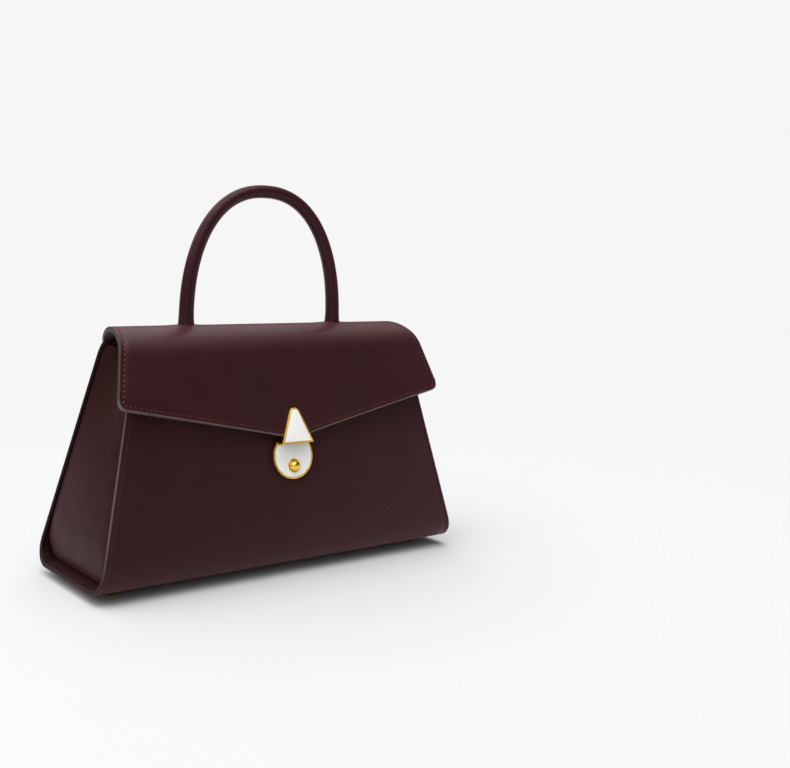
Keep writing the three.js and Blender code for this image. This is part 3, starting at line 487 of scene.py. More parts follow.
def bead(name, material, start, length, width, rise, blunt=1.0):
    """A small ball drawn out along X, with its poles at the ends."""
    fresh()
    bpy.ops.mesh.primitive_uv_sphere_add(segments=8, ring_count=6, radius=1)
    bpy.ops.transform.rotate(value=pi / 2, orient_axis="Y", center_override=(0, 0, 0))
    bpy.ops.object.transform_apply()
    piece = named(name, material)
    for vertex in piece.data.vertices:
        x, y, z = vertex.co
        along = copysign(min(abs(x) * blunt, 1), x)
        vertex.co = (start + length * (along + 1) / 2, width * y, rise * z)
    return piece


def sew(name, points, material=None, radius=RIM_THREAD, body="bag_body"):
    """Stitches along a line on the surface: one and its hole, a dark dot of painted shadow, are modelled,
    then repeated along it.

    Where no thread is named, it is the rims' copy, darkened with painted shade.
    """
    points = [Vector(point) for point in points]
    length = sum((b - a).length for a, b in zip(points, points[1:]))
    count = max(1, round(length / STITCH_PITCH))
    pitch = length / count
    start = pitch * (1 - STITCH_SHARE) / 2
    stitch = bead(name, material or shaded_thread, start, pitch * STITCH_SHARE, radius, radius, STITCH_BLUNT)
    start = pitch * HOLE_START
    hole = bead("hole", hole_shadow, start, pitch * HOLE_LENGTH, HOLE_WIDTH * radius, HOLE_RISE)
    joined(name, [stitch, hole])
    apply(stitch, "ARRAY", count=count, use_relative_offset=False, use_constant_offset=True,
          constant_offset_displace=(pitch, 0, 0))
    line = line_curve(points)
    apply(stitch, "CURVE", object=line, deform_axis="POS_X")
    bpy.data.objects.remove(line)
    settle(smooth(stitch, 80), "leather", body=body)


# Materials

def node(tree, kind, **settings):
    """A node whose settings are properties, values of inputs or sockets that feed them; in_1 is input 1."""
    made = tree.nodes.new(kind)
    for key, value in settings.items():
        if key.startswith("in_"):
            spot = made.inputs[int(key[3:])]
        else:
            spot = made.inputs.get(key.replace("_", " "))
        if isinstance(value, bpy.types.NodeSocket):
            tree.links.new(value, spot)
        elif spot is not None:
            spot.default_value = value
        else:
            setattr(made, key, value)
    return made


def group(name, values, outputs):
    """A node group that works on a place, with some numbers to set and some to give out."""
    tree = bpy.data.node_groups.new(name, "ShaderNodeTree")
    tree.interface.new_socket("Place", in_out="INPUT", socket_type="NodeSocketVector")
    for label, value in values.items():
        socket = tree.interface.new_socket(label, in_out="INPUT", socket_type="NodeSocketFloat")
        socket.default_value = value
    for label in outputs:
        tree.interface.new_socket(label, in_out="OUTPUT", socket_type="NodeSocketFloat")
    return tree, tree.nodes.new("NodeGroupInput").outputs


def make_grain():
    """Leather: pores, faint creases and uneven dye."""
    tree, given = group("Grain", {"Pores": 1400.0, "Crease": 0.4}, ("Height", "Dye", "Shine"))
    place = given["Place"]
    pores = node(tree, "ShaderNodeTexVoronoi", feature="SMOOTH_F1", Smoothness=0.6, Vector=place,
                 Scale=given["Pores"])
    creases = node(tree, "ShaderNodeTexNoise", Scale=260.0, Detail=4.0, Roughness=0.6, Distortion=0.5,
                   Vector=place)
    weighed = node(tree, "ShaderNodeMath", operation="MULTIPLY", in_0=creases.outputs["Fac"],
                   in_1=given["Crease"])
    height = node(tree, "ShaderNodeMath", operation="ADD", in_0=pores.outputs["Distance"],
                  in_1=weighed.outputs[0])
    dye = node(tree, "ShaderNodeTexNoise", Scale=24.0, Detail=5.0, Roughness=0.55, Vector=place)
    shine = node(tree, "ShaderNodeTexNoise", Scale=60.0, Detail=3.0, Vector=place)
    node(tree, "NodeGroupOutput", Height=height.outputs[0], Dye=dye.outputs["Fac"],
         Shine=shine.outputs["Fac"])
    return tree


def make_scuffs():
    """Metal: hair-fine polishing lines and faint smears."""
    tree, given = group("Scuffs", {"Fineness": 900.0}, ("Height", "Smear"))
    stretch = node(tree, "ShaderNodeMapping", Scale=(0.15, 1.0, 1.0), Rotation=(0.3, 0.2, 0.6),
                   Vector=given["Place"])
    lines = node(tree, "ShaderNodeTexNoise", Detail=3.0, Vector=stretch.outputs["Vector"],
                 Scale=given["Fineness"])
    smear = node(tree, "ShaderNodeTexNoise", Scale=180.0, Detail=4.0, Vector=given["Place"])
    node(tree, "NodeGroupOutput", Height=lines.outputs["Fac"], Smear=smear.outputs["Fac"])
    return tree


def make_mottle():
    """Paint, thread and cloth: blobs, twist or fibres, by their scale."""
    values = {"Scale": 420.0, "Detail": 4.0, "Roughness": 0.5}
    tree, given = group("Mottle", values, ("Spots",))
    sockets = {label: given[label] for label in values}
    spots = node(tree, "ShaderNodeTexNoise", Vector=given["Place"], **sockets)
    node(tree, "NodeGroupOutput", Spots=spots.outputs["Fac"])
    return tree


grain = make_grain()
scuffs = make_scuffs()
mottle = make_mottle()


class Finish:
    """A material on Object coordinates, built up node by node."""

    def __init__(self, name, **constants):
        self.material = bpy.data.materials.new(name)
        self.material.use_nodes = True
        self.tree = self.material.node_tree
        self.shader = self.tree.nodes["Principled BSDF"]
        self.place = self.add("ShaderNodeTexCoord").outputs["Object"]
        for socket, value in constants.items():
            self.shader.inputs[socket.replace("_", " ")].default_value = value

    def add(self, kind, **settings):
        return node(self.tree, kind, **settings)

    def feed(self, socket, value):
        self.tree.links.new(value, self.shader.inputs[socket])

    def effect(self, tree, **values):
        return self.add("ShaderNodeGroup", node_tree=tree, Place=self.place, **values).outputs

    def ramp(self, value, socket, *stops):
        """Runs a value through colours or greys into one of the shader's sockets."""
        made = self.add("ShaderNodeValToRGB", Fac=value)
        elements = made.color_ramp.elements
        while len(elements) < len(stops):
            elements.new(0.5)
        for element, (position, colour) in zip(elements, stops):
            element.position = position
            element.color = (*colour, 1) if isinstance(colour, tuple) else (colour, colour, colour, 1)
        self.feed(socket, made.outputs["Color"])
        return made.outputs["Color"]

    def bump(self, height, strength, distance):
        made = self.add("ShaderNodeBump", Strength=strength, Distance=distance, Height=height)
        self.feed("Normal", made.outputs["Normal"])


# Painted shade that the crease mask multiplies into the gusset's sewn edge and rolled edge
PAINTED_CREASE_SHADE = (0.6, 0.56, 0.56, 1.0)


def leather(name, dark, light, rough, shine=0.22, sheen=0.3, pores=1400.0, crease=0.4, strength=0.06,
            sewn=None):
    """Dyed leather; where sewn names an attribute, that attribute multiplies painted shade into the dye."""
    finish = Finish(name, Specular_IOR_Level=shine, Specular_Tint=(1.0, 0.58, 0.66, 1.0),
                    Sheen_Weight=sheen, Sheen_Roughness=0.4, Sheen_Tint=(1.0, 0.36, 0.46, 1.0))
    skin = finish.effect(grain, Pores=pores, Crease=crease)
    dye = finish.ramp(skin["Dye"], "Base Color", (0.3, dark), (0.72, light))
    if sewn:
        # Painted shade: the mask darkens the dye where the gusset's face meets the rims
        mask = finish.add("ShaderNodeAttribute", attribute_name=sewn)
        painted_shade = finish.add("ShaderNodeMix", data_type="RGBA", blend_type="MULTIPLY",
                            in_0=mask.outputs["Fac"], in_6=dye, in_7=PAINTED_CREASE_SHADE)
        finish.feed("Base Color", painted_shade.outputs[2])
    finish.ramp(skin["Shine"], "Roughness", (0.3, rough - 0.05), (0.7, rough + 0.05))
    finish.bump(skin["Height"], strength, 0.0004)
    return finish.material


def mottled(name, kind, dark, light, rough, strength, depth, full=0.7, **constants):
    """A finish whose colour, roughness and relief follow the same spots."""
    finish = Finish(name, **constants)
    spots = finish.effect(mottle, **kind)["Spots"]
    finish.ramp(spots, "Base Color", (0.3, dark), (full, light))
    finish.ramp(spots, "Roughness", (0.3, rough[0]), (0.7, rough[1]))
    finish.bump(spots, strength, depth)
    return finish.material


BLOBS = {"Scale": 420.0, "Detail": 4.0}
TWIST = {"Scale": 1500.0, "Detail": 2.0}


def make_paint(name, dark, light):
    """Edge paint: a thick coat with soft blobs."""
    return mottled(name, BLOBS, dark, light, (0.44, 0.56), 0.15, 0.0004, 0.75, Specular_IOR_Level=0.5)


def make_thread(name, dark, light):
    return mottled(name, TWIST, dark, light, (0.7, 0.7), 0.5, 0.0003, Specular_IOR_Level=0.2)


def make_fibre(name, dark, light, scale, strength):
    """Cloth, wadding or board: a matt mat of short fibres."""
    mat = {"Scale": scale, "Detail": 6.0, "Roughness": 0.7}
    return mottled(name, mat, dark, light, (0.78, 0.95), strength, 0.0005,
                   Specular_IOR_Level=0.2, Sheen_Weight=0.15)


# Direction along which painted light makes the rims' paint lighter
PAINTED_LIGHT_SIDE = (0, -10, 5)


def make_rim_coat():
    """Edge paint of the rims with painted light: lighter up the front and higher up, dark low down and at
    the rear.
    """
    finish = Finish("rim_paint", Specular_IOR_Level=0.2)
    blobs = finish.effect(mottle, **BLOBS)["Spots"]
    upfront = finish.add("ShaderNodeVectorMath", operation="DOT_PRODUCT",
                         in_0=finish.place, in_1=PAINTED_LIGHT_SIDE)
    finish.ramp(upfront.outputs["Value"], "Base Color",
                (0.55, (0.014, 0.006, 0.006)), (0.68, (0.095, 0.064, 0.058)))
    finish.ramp(blobs, "Roughness", (0.3, 0.42), (0.7, 0.55))
    finish.bump(blobs, 0.1, 0.0003)
    return finish.material


def make_metal(name, dark, light, polished, dull, strength, fineness=900.0, metallic=1.0, dullest=0.75):
    """Polished metal that its smears make duller."""
    finish = Finish(name, Metallic=metallic)
    marks = finish.effect(scuffs, Fineness=fineness)
    finish.ramp(marks["Smear"], "Base Color", (0.3, dark), (0.7, light))
    finish.ramp(marks["Smear"], "Roughness", (0.3, polished), (dullest, dull))
    finish.bump(marks["Height"], strength, 0.0002)
    return finish.material


def make_enamel():
    """White enamel with upright pearly clouds under a clear coat."""
    finish = Finish("pearly_enamel", Coat_Weight=0.4, Coat_Roughness=0.08)
    upright = finish.add("ShaderNodeMapping", Scale=(1.0, 1.0, 0.22), Vector=finish.place)
    clouds = finish.add("ShaderNodeTexNoise", Scale=260.0, Detail=5.0, Distortion=0.6,
                        Vector=upright.outputs["Vector"]).outputs["Fac"]
    finish.ramp(clouds, "Base Color", (0.28, (0.83, 0.835, 0.80)), (0.5, (0.865, 0.865, 0.85)),
                (0.72, (0.895, 0.885, 0.89)))
    finish.ramp(clouds, "Roughness", (0.3, 0.16), (0.7, 0.3))
    return finish.material


burgundy = leather("burgundy_leather", (0.0230, 0.0069, 0.0075), (0.0290, 0.0089, 0.0095), 0.38)
# This leather's attribute paints shade into the recess along the gusset's sewn edge
burgundy_side = leather(
    "burgundy_side_leather", (0.0170, 0.0057, 0.0051), (0.0214, 0.0073, 0.0065), 0.36,
    shine=0.05, sheen=0.1, sewn="crease_shade")
burgundy_roll = leather(
    "burgundy_rolled_leather", (0.0234, 0.0067, 0.0073), (0.0297, 0.0087, 0.0094), 0.31)
burgundy_inside = leather(
    "burgundy_inner_leather", (0.042, 0.015, 0.016), (0.056, 0.020, 0.021), 0.55,
    pores=900.0, crease=0.7, strength=0.12)
# One edge paint in a lit and a shaded copy: on the flap the lighter one is a painted highlight on the
# bevels, the darker one painted shade on the rim face
painted_edge = make_paint("edge_paint", (0.074, 0.046, 0.043), (0.106, 0.069, 0.064))
shaded_edge_paint = make_paint("shaded_edge_paint", (0.040, 0.022, 0.020), (0.060, 0.035, 0.032))
rim_coat = make_rim_coat()
# One reddish thread in copies darkened by painted shade: the lit one for the flap's left seam, darker ones
# for seams that face away from the light or lie in shade
thread = make_thread("lit_thread", (0.13, 0.022, 0.022), (0.2, 0.038, 0.035))
half_shaded_thread = make_thread("half_shaded_thread", (0.07, 0.014, 0.013), (0.115, 0.024, 0.022))
deep_shaded_thread = make_thread("deep_shaded_thread", (0.016, 0.005, 0.005), (0.026, 0.008, 0.008))
# Painted shadow inside the needle holes
hole_shadow = make_thread("hole_shadow", (0.004, 0.0015, 0.0015), (0.007, 0.0025, 0.0025))
shaded_thread = make_thread("shaded_thread", (0.055, 0.013, 0.013), (0.085, 0.021, 0.020))
gold_tones = ((0.95, 0.57, 0.065), (1.0, 0.66, 0.11))
gold = make_metal("polished_gold", *gold_tones, 0.14, 0.22, 0.03, metallic=0.72)
mirror_gold = make_metal("mirror_gold", *gold_tones, 0.07, 0.15, 0.03)
pale_gold = make_metal("pale_gold", (0.82, 0.62, 0.31), (0.90, 0.71, 0.40), 0.14, 0.26, 0.04, 700.0)
# Gold of the feet, darkened as painted shade for their place under the base
foot_gold_in_shade = make_metal("shaded_foot_gold", (0.26, 0.17, 0.045), (0.34, 0.23, 0.08), 0.28, 0.42, 0.06, 600.0)
steel = make_metal(
    "zinc_steel", (0.36, 0.37, 0.39), (0.52, 0.53, 0.55), 0.28, 0.44, 0.08, 500.0, dullest=0.7)
enamel = make_enamel()
lining_cloth = make_fibre("wine_microfibre", (0.034, 0.012, 0.014), (0.052, 0.020, 0.022), 1100.0, 0.25)
board = make_fibre("stiff_board", (0.22, 0.19, 0.15), (0.32, 0.28, 0.23), 500.0, 0.2)
wadding = make_fibre("white_wadding", (0.62, 0.60, 0.55), (0.75, 0.73, 0.69), 700.0, 0.5)

# Body: the wrap, its stitches, the facings and the lining

EDGE_ZONE = 0.02
edge_steps = [0.0, 0.0009, 0.0018, 0.0026, RIM_SEAM, 0.0042, 0.0052, 0.007, 0.010, 0.015, EDGE_ZONE]
half_columns = edge_steps + steps(EDGE_ZONE, BASE_HALF, 13)[1:]


def both_sides(half):
    """Columns as a side and a distance in from its edge, from the left edge to the right one."""
    return [(-1, d) for d in half] + [(1, d) for d in reversed(half[:-1])]


def from_edge(distance, half, zone, whole):
    """Place across, by the distance from an edge: past the edge zone the columns share the width evenly."""
    if distance <= zone:
        return half - distance
    return (half - zone) * (whole - distance) / (whole - zone)


def seam_relief(distance, seam, pillow):
    """Leather drawn in along a seam, and swelling past it."""
    past = max(distance - seam, 0)
    return pillow * (1 - bell(past, PILLOW_REACH)) - GROOVE * bell(distance - seam, GROOVE_REACH)


def wrap_place(station, column):
    side, distance = column
    on_wall = ease(*PILLOW_START, abs(station)) * (1 - ease(*PILLOW_END, abs(station)))
    y, z = body_point(station, -seam_relief(distance, RIM_SEAM, WALL_PILLOW * on_wall))
    return (side * from_edge(distance, half_width(z), EDGE_ZONE, BASE_HALF), y, z)


def wall_frame(face, x, y, z, lean):
    """X across, Y up a leaning wall and Z out of it; the front faces -1 and the rear 1."""
    up = Vector((0, -face * sin(lean), cos(lean)))
    out = Vector((0, face * cos(lean), sin(lean)))
    turn = Matrix((Vector((-face, 0, 0)), up, out)).transposed().to_4x4()
    return Matrix.Translation((x, y, z)) @ turn


LOCK_DROP = 0.0138  # lock's middle below the flap's tip
WINDOW_LOW = (-0.0056, 0.0086, -0.012)  # where the tongue goes through the wall
WINDOW_HIGH = (0.0056, 0.0166, 0.004)
lock_height = tip_height - LOCK_DROP
lock_place = wall_frame(-1, 0, -half_depth(lock_height), lock_height, wall_angle)


def make_wrap():
    wrap = loft("wrap", body_line, both_sides(half_columns), wrap_place,
                burgundy, burgundy_inside, rim_coat)
    thicken(wrap, WRAP, 1, 2)
    cut(wrap, block(WINDOW_LOW, WINDOW_HIGH, lock_place))
    soften(wrap, WRAP_BEVEL)
    settle(wrap, "leather", "outer_wrap", "front_padding", "rear_padding")


def make_rim_stitches():
    line = [station for station in body_line if abs(station) <= RIM_SEAM_END]
    for side, name in SIDES:
        outside = [wrap_place(station, (side, RIM_SEAM)) for station in line]
        sew(f"{name}_rim_stitches", outside)
        inside = []
        for station in line:
            y, z = body_point(station, FLANGE - STITCH_RISE)
            inside.append((side * (half_width(z) - RIM_SEAM), y, z))
        sew(f"{name}_flange_stitches", inside, deep_shaded_thread)


def make_facings():
    rows = steps(wall_station(FACING_LOW), 3, 8) + steps(3, 4, 6)[1:]
    for sign, name in ((-1, "front"), (1, "rear")):
        def place(station, share):
            y, z = body_point(sign * station, FACING_FACE)
            return (share * (half_width(z) - SIDE_MARGIN) * sign, y, z)

        facing = loft(f"{name}_facing_leather", rows, steps(-1, 1, 20), place,
                      burgundy_inside, burgundy, painted_edge)
        thicken(facing, FACING, 1, 2)
        soften(facing, LEATHER_BEVEL)
        settle(facing, "leather", f"{name}_facing")
        y, z = body_point(sign * LIP_SEAM, -STITCH_RISE)
        row = [(x, y, z) for x in steps(-LIP_SEAM_HALF, LIP_SEAM_HALF, 60)]
        sew(f"{name}_lip_stitches", row)


def make_body_lining():
    top = wall_station(LINING_TOP)

    def place(station, share):
        sag = LINING_SAG * sin(station * 9) * sin(share * 7) * ease(*SAG_START, abs(station))
        face = mix(LINING_FACE + sag, LINING_HEM, ease(top - HEM_REACH, top, abs(station)))
        y, z = body_point(station, face)
        margin = mix(INNER_MARGIN, SIDE_MARGIN, ease(*MARGIN_FADE, abs(station)))
        return (share * (half_width(z) - margin), y, z)

    # The seen side faces into the bag, so the rows run the other way
    lining = loft("lining_cloth", line_below(top)[::-1], steps(-1, 1, 40), place, lining_cloth)
    thicken(lining, LINING)
    cut(lining, block(WINDOW_LOW, WINDOW_HIGH, lock_place))
    soften(lining, CLOTH_BEVEL)
    settle(lining, "lining", "body_lining")


# Gussets

gusset_top = body_point(4, FLANGE)[1]


def gusset_face(y, z):
    """How far the gusset's face is from the bag's middle: drawn in at its top, swelling lower down."""
    height = (z - FEET) / (gusset_top - FEET)
    middle = 1 - min(abs(y) / (half_depth(z) - FLANGE), 1) ** 2
    pinch = GUSSET_PINCH * ease(PINCH_START, 1, height) * middle**1.5
    swell = GUSSET_SWELL * middle * sin(pi * min(max(height / SWELL_END, 0), 1))
    tuck = GUSSET_TUCK * (1 - ease(0, TUCK_END, height))
    depth = mix(GUSSET_FOOT, GUSSET_DEPTH, ease(*FOOT_FADE, height))
    return half_width(z) - depth - pinch + swell - tuck


def gusset_middle(z):
    """Where a point of the outline is led to, on the middle line."""
    share = max(z - GUSSET_SPINE, 0) / (gusset_top - GUSSET_SPINE)
    return mix(GUSSET_SPINE, gusset_top - GUSSET_DIP, share)


def gusset_place(station, column):
    """In along the sewn edge, then over the face's rolled edge and on to the middle line."""
    kind, share = column
    y, z = body_point(station, FLANGE)
    target = (0.0, gusset_middle(z))
    length = dist((y, z), target)
    low = 1 - ease(*BASE_FADE, abs(station))
    valley = mix(VALLEY_SIDE, VALLEY_BASE, low) * (1 - ease(*VALLEY_END, abs(station)))
    roll = min(mix(ROLL_SIDE, ROLL_BASE, low), 0.5 * length)
    if kind == "flange":
        return (mix(half_width(z), gusset_face(y, z) - valley, share), y, z)
    turn = share * pi / 2
    run = roll * (1 - cos(turn)) if kind == "roll" else mix(roll, length, share)
    drop = valley * (1 - sin(turn)) if kind == "roll" else 0.0
    y, z = mix(y, target[0], run / length), mix(z, target[1], run / length)
    return (gusset_face(y, z) - drop, y, z)


def mark_crease_shade(panel, columns):
    """Painted shade for the recess round the gusset's face: one on the sewn edge, fading out over the
    face's rolled edge.
    """
    mask = panel.data.attributes.new("crease_shade", "FLOAT", "POINT")
    for i, value in enumerate(mask.data):
        kind, share = columns[i % len(columns)]
        value.value = {"flange": 1.0, "roll": (1 - share) ** 4, "face": 0.0}[kind]


def outward(sign, line):
    """Order of a side's rows that turns its faces out of the bag."""
    return line[::-1] if sign < 0 else line


def make_gussets():
    columns = [("flange", share) for share in steps(0, 1, 4)]
    columns += [("roll", share) for share in steps(0, 1, 7)[1:]]
    columns += [("face", share) for share in steps(0, 1, 16)[1:]]
    cloth_line = line_below(wall_station(LINING_TOP - CLOTH_LOWER))
    for sign, name in SIDES:
        def place(station, column):
            x, y, z = gusset_place(station, column)
            return (sign * x, y, z)

        def place_lining(station, share):
            x, y, z = gusset_place(station, ("face", share))
            return (sign * (x - GUSSET_CLOTH_FACE), y, z)

        panel = loft(f"{name}_gusset_leather", outward(sign, body_line), columns, place,
                     burgundy_side, burgundy_inside)
        mark_crease_shade(panel, columns)
        weld(panel, 1e-5, solid=False)
        thicken(panel, GUSSET_LEATHER, 1, even=False)
        soften(panel, LEATHER_BEVEL)
        settle(panel, "leather", f"{name}_gusset")
        cloth = loft(f"{name}_gusset_cloth", outward(sign, cloth_line), steps(0, 1, 16), place_lining,
                     lining_cloth)
        weld(cloth, 1e-5, solid=False)
        thicken(cloth, GUSSET_CLOTH, even=False)
        settle(smooth(cloth), "lining", f"{name}_gusset_lining")


def make_rim_paint():
    """The paint on the wrap's edges."""
    for sign, name in SIDES:
        def place(station, share):
            y, z = body_point(station, mix(*COAT_EDGES, share))
            stand = COAT_STAND + COAT_SWELL * sin(pi * share) ** 0.6
            return (sign * (half_width(z) + stand), y, z)

        paint = loft(f"{name}_rim_coat", outward(sign, body_line), steps(0, 1, 8), place, rim_coat)
        thicken(paint, COAT)
        settle(smooth(paint), "leather")


# Flap and tail: one sheet from the front's lower edge over the top and down to the sewn rear end

FLAP_ZONE = 0.012
TAIL_ZONE = 0.013
flap_edge = [0.0, 0.0009, 0.0016, 0.0022, FLAP_SEAM, 0.0038, 0.005, 0.007, 0.0095, FLAP_ZONE]
flap_columns = both_sides(flap_edge + steps(FLAP_ZONE, CORNER_HALF, 44)[1:])
tail_straight = (shoulder_low - TAIL_LOW) / cos(wall_angle)
tail_length = tail_straight + rear_radius * (FOLD_ANGLE - wall_angle)
tail_edge = [0.0, 0.0010, 0.002, FLAP_SEAM, 0.004, 0.005, 0.0059, TAIL_MARGIN, 0.0077, 0.0086, 0.010]
over_rows = steps(3, 2, 10)[1:] + steps(2, 1, 16)[1:] + steps(1, 0, 6)[1:]
flap_rows = (
    [("edge", d) for d in flap_edge]
    + [("front", share) for share in steps(0, 1, 7)[1:]]
    + [("over", station) for station in over_rows]
    + [("tail", d) for d in steps(tail_length, TAIL_ZONE, 12)[1:] + tail_edge[::-1]]
)


def rounding(distance, radius):
    """How far a rounded corner draws an edge back, at a distance from the other edge."""
    gap = max(radius - distance, 0)
    return radius - sqrt(radius**2 - gap**2)


def from_side(distance, half):
    return from_edge(distance, half, FLAP_ZONE, CORNER_HALF)


def tail_place(distance, side, inset):
    """On the tail, by the distances from its lower edge and from its end."""
    if distance <= tail_straight:
        z = TAIL_LOW + distance * cos(wall_angle)
        point, angle = (tail_surface(z), z), wall_angle
    else:
        angle = wall_angle + (distance - tail_straight) / rear_radius
        point = polar(rear_centre, rear_radius, angle)
    share = (point[1] - TAIL_LOW) / (fold_point[1] - TAIL_LOW)
    half = mix(TAIL_HALF, FOLD_HALF, share) - rounding(distance, TAIL_CORNER)
    low, high = (TAIL_MARGIN + reach for reach in TAIL_SLOPE)
    flat = 1 - ease(tail_straight, tail_length, distance)
    relief = -TAIL_PILLOW * (1 - ease(low, high, min(distance, inset))) * flat
    y, z = polar(point, relief, angle)
    return (side * from_side(inset, half), y, z)


def flap_place(row, column):
    kind, value = row
    side, inset = column
    if kind == "tail":
        return tail_place(value, side, inset)
    across = from_side(inset, CORNER_HALF) / CORNER_HALF
    edge = inset
    # The width depends on the place along the flap and that on the width, so it is found in rounds
    for _ in range(3):
        straight = dist(*flap_front(across)[1:])
        if kind == "edge":
            lift = rounding(inset, FLAP_CORNER) * (1 - value / FLAP_ZONE)
            station = 4 - (value + lift) / straight
            edge = min(inset, value)
        elif kind == "front":
            station = mix(4 - FLAP_ZONE / straight, 3, value)
        else:
            station = value
        point, angle, share = flap_section(across, station)
        half = mix(FOLD_HALF, CORNER_HALF, share)
        across = from_side(inset, half) / half
    x = side * across * half
    relief = seam_relief(edge, FLAP_SEAM, 0.0)
    if kind == "over":
        away = hypot(abs(x) - HANDLE_HALF, arch_radius * (angle - pi / 2))
        relief += TENT * bell(away, TENT_REACH)
    y, z = polar(point, relief, angle)
    return (x, y, z)


def make_flap():
    flap = loft("flap_sheet", flap_rows, flap_columns, flap_place,
                burgundy, lining_cloth, shaded_edge_paint, painted_edge)
    # The front strip along the lower edge and the bevels get the lighter paint as a painted highlight; the
    # rim face gets the shaded copy
    for face in flap.data.polygons[:len(flap_columns) - 1]:
        face.material_index = 3
    thicken(flap, FLAP, 1, 2)
    soften(flap, FLAP_BEVEL, 3, material=3)
    settle(flap, "leather", "flap_leather", "flap_tail", "flap_lining", "tail_padding", body="fold")

    along = [row for row in flap_rows if row[0] in ("front", "over") or row[1] >= FLAP_SEAM]
    across = [column for column in flap_columns if column[1] >= FLAP_SEAM]
    seams = (
        ("flap_left", [(row, (-1, FLAP_SEAM)) for row in along], thread, THREAD),
        ("flap_right", [(row, (1, FLAP_SEAM)) for row in along], shaded_thread, THREAD),
        ("flap_front", [(("edge", FLAP_SEAM), column) for column in across], half_shaded_thread, EDGE_THREAD),
        ("tail", [(("tail", FLAP_SEAM), column) for column in across], deep_shaded_thread, EDGE_THREAD),
    )
    for name, spots, material, radius in seams:
        sew(f"{name}_stitches", [flap_place(*spot) for spot in spots], material, radius, "fold")


# Handle: leather rolled round a cord, with a butted seam low on its rear

handle_base = arch_top + HANDLE_GAP


def handle_point(turn):
    """Centre of the roll: below 0 and past pi it goes straight down into the flap."""
    power = 2 / HANDLE_SQUARENESS
    over = min(max(turn, 0), pi)
    c, s = cos(over), max(sin(over), 0)
    x = copysign(HANDLE_HALF * abs(c) ** power, c)
    z = handle_base + HANDLE_STRAIGHT + HANDLE_RISE * s**power
    return Vector((x, 0, z - abs(turn - over)))


def handle_place(turn, around):
    centre = handle_point(turn)
    ahead = (handle_point(turn + 1e-4) - handle_point(turn - 1e-4)).normalized()
    out = ahead.cross(Vector((0, 1, 0)))
    height = centre.z - handle_base
    radius = mix(LEG_RADIUS, TOP_RADIUS, min(max(height / HANDLE_RISE, 0), 1))
    radius += FLARE * exp(-max(height, 0) / FLARE_REACH)
    for seam in (SEAM_TURN, SEAM_TURN + 2 * pi):
        radius -= SEAM_DEPTH * bell(around - seam, SEAM_WIDTH)
    return centre + radius * (cos(around) * out + sin(around) * Vector((0, 1, 0)))


def make_handle():
    low = HANDLE_STRAIGHT + HANDLE_SINK
    rows = steps(-low, 0, 5) + steps(0, pi, 90)[1:] + steps(pi, pi + low, 5)[1:]
    columns = SEAM_COLUMNS + steps(SEAM_ZONE, 2 * pi - SEAM_ZONE, 26)
    columns += [2 * pi - turn for turn in reversed(SEAM_COLUMNS)]
    columns = [SEAM_TURN + turn for turn in columns]
    handle = weld(loft("rolled_handle", rows, columns, handle_place, burgundy_roll))
    edit(handle)
    bpy.ops.mesh.fill_holes(sides=0)
    turn_out()
    done()
    settle(smooth(handle), "leather", "handle_cover", "handle_core", body="flap")


def fix(piece, bevel, place, slot, solid, body="bag_body"):
    """Rounds a plate's edges, puts it in its place and ties it."""
    soften(piece, bevel, 3)
    piece.data.transform(place)
    settle(piece, slot, solid, body=body)


# Lock on the front wall

DISC = 0.0158
DISC_BACK = 0.0003
DISC_FRONT = 0.0046
PLATE = 0.0014  # thickness of the plate, on a narrower boss
OVERHANG = 0.0016
RIM = 0.0011
NOTCH_HALF = 0.0116
NOTCH_FLOOR = 0.0092
BALL = 0.004
BALL_DROP = 0.0067
BALL_CLEAR = 0.0003
BORE_FLOOR = 0.0005
SKIRT = (0.0005, 0.0014)  # the ball's straight part below its middle
STEM_INSET = 0.0021
STEM = 0.0085
COLLAR = 0.00055  # its middle line outside the ball
COLLAR_WIRE = 0.0003
COLLAR_SINK = 0.0001
ENAMEL = 0.001
ENAMEL_SINK = 0.00015
ENAMEL_GAP = 0.00005
ENAMEL_BORE = 0.0005
PAST = 0.02  # cutting tools end outside the piece


def enamel_disc(margin, low, high):
    """A disc cut straight under the notch."""
    piece = drum(DISC - RIM - margin, low, high)
    edit(piece)
    bpy.ops.mesh.bisect(plane_co=(0, NOTCH_FLOOR - RIM - margin, 0), plane_no=(0, 1, 0),
                        use_fill=True, clear_outer=True)
    done()
    return piece


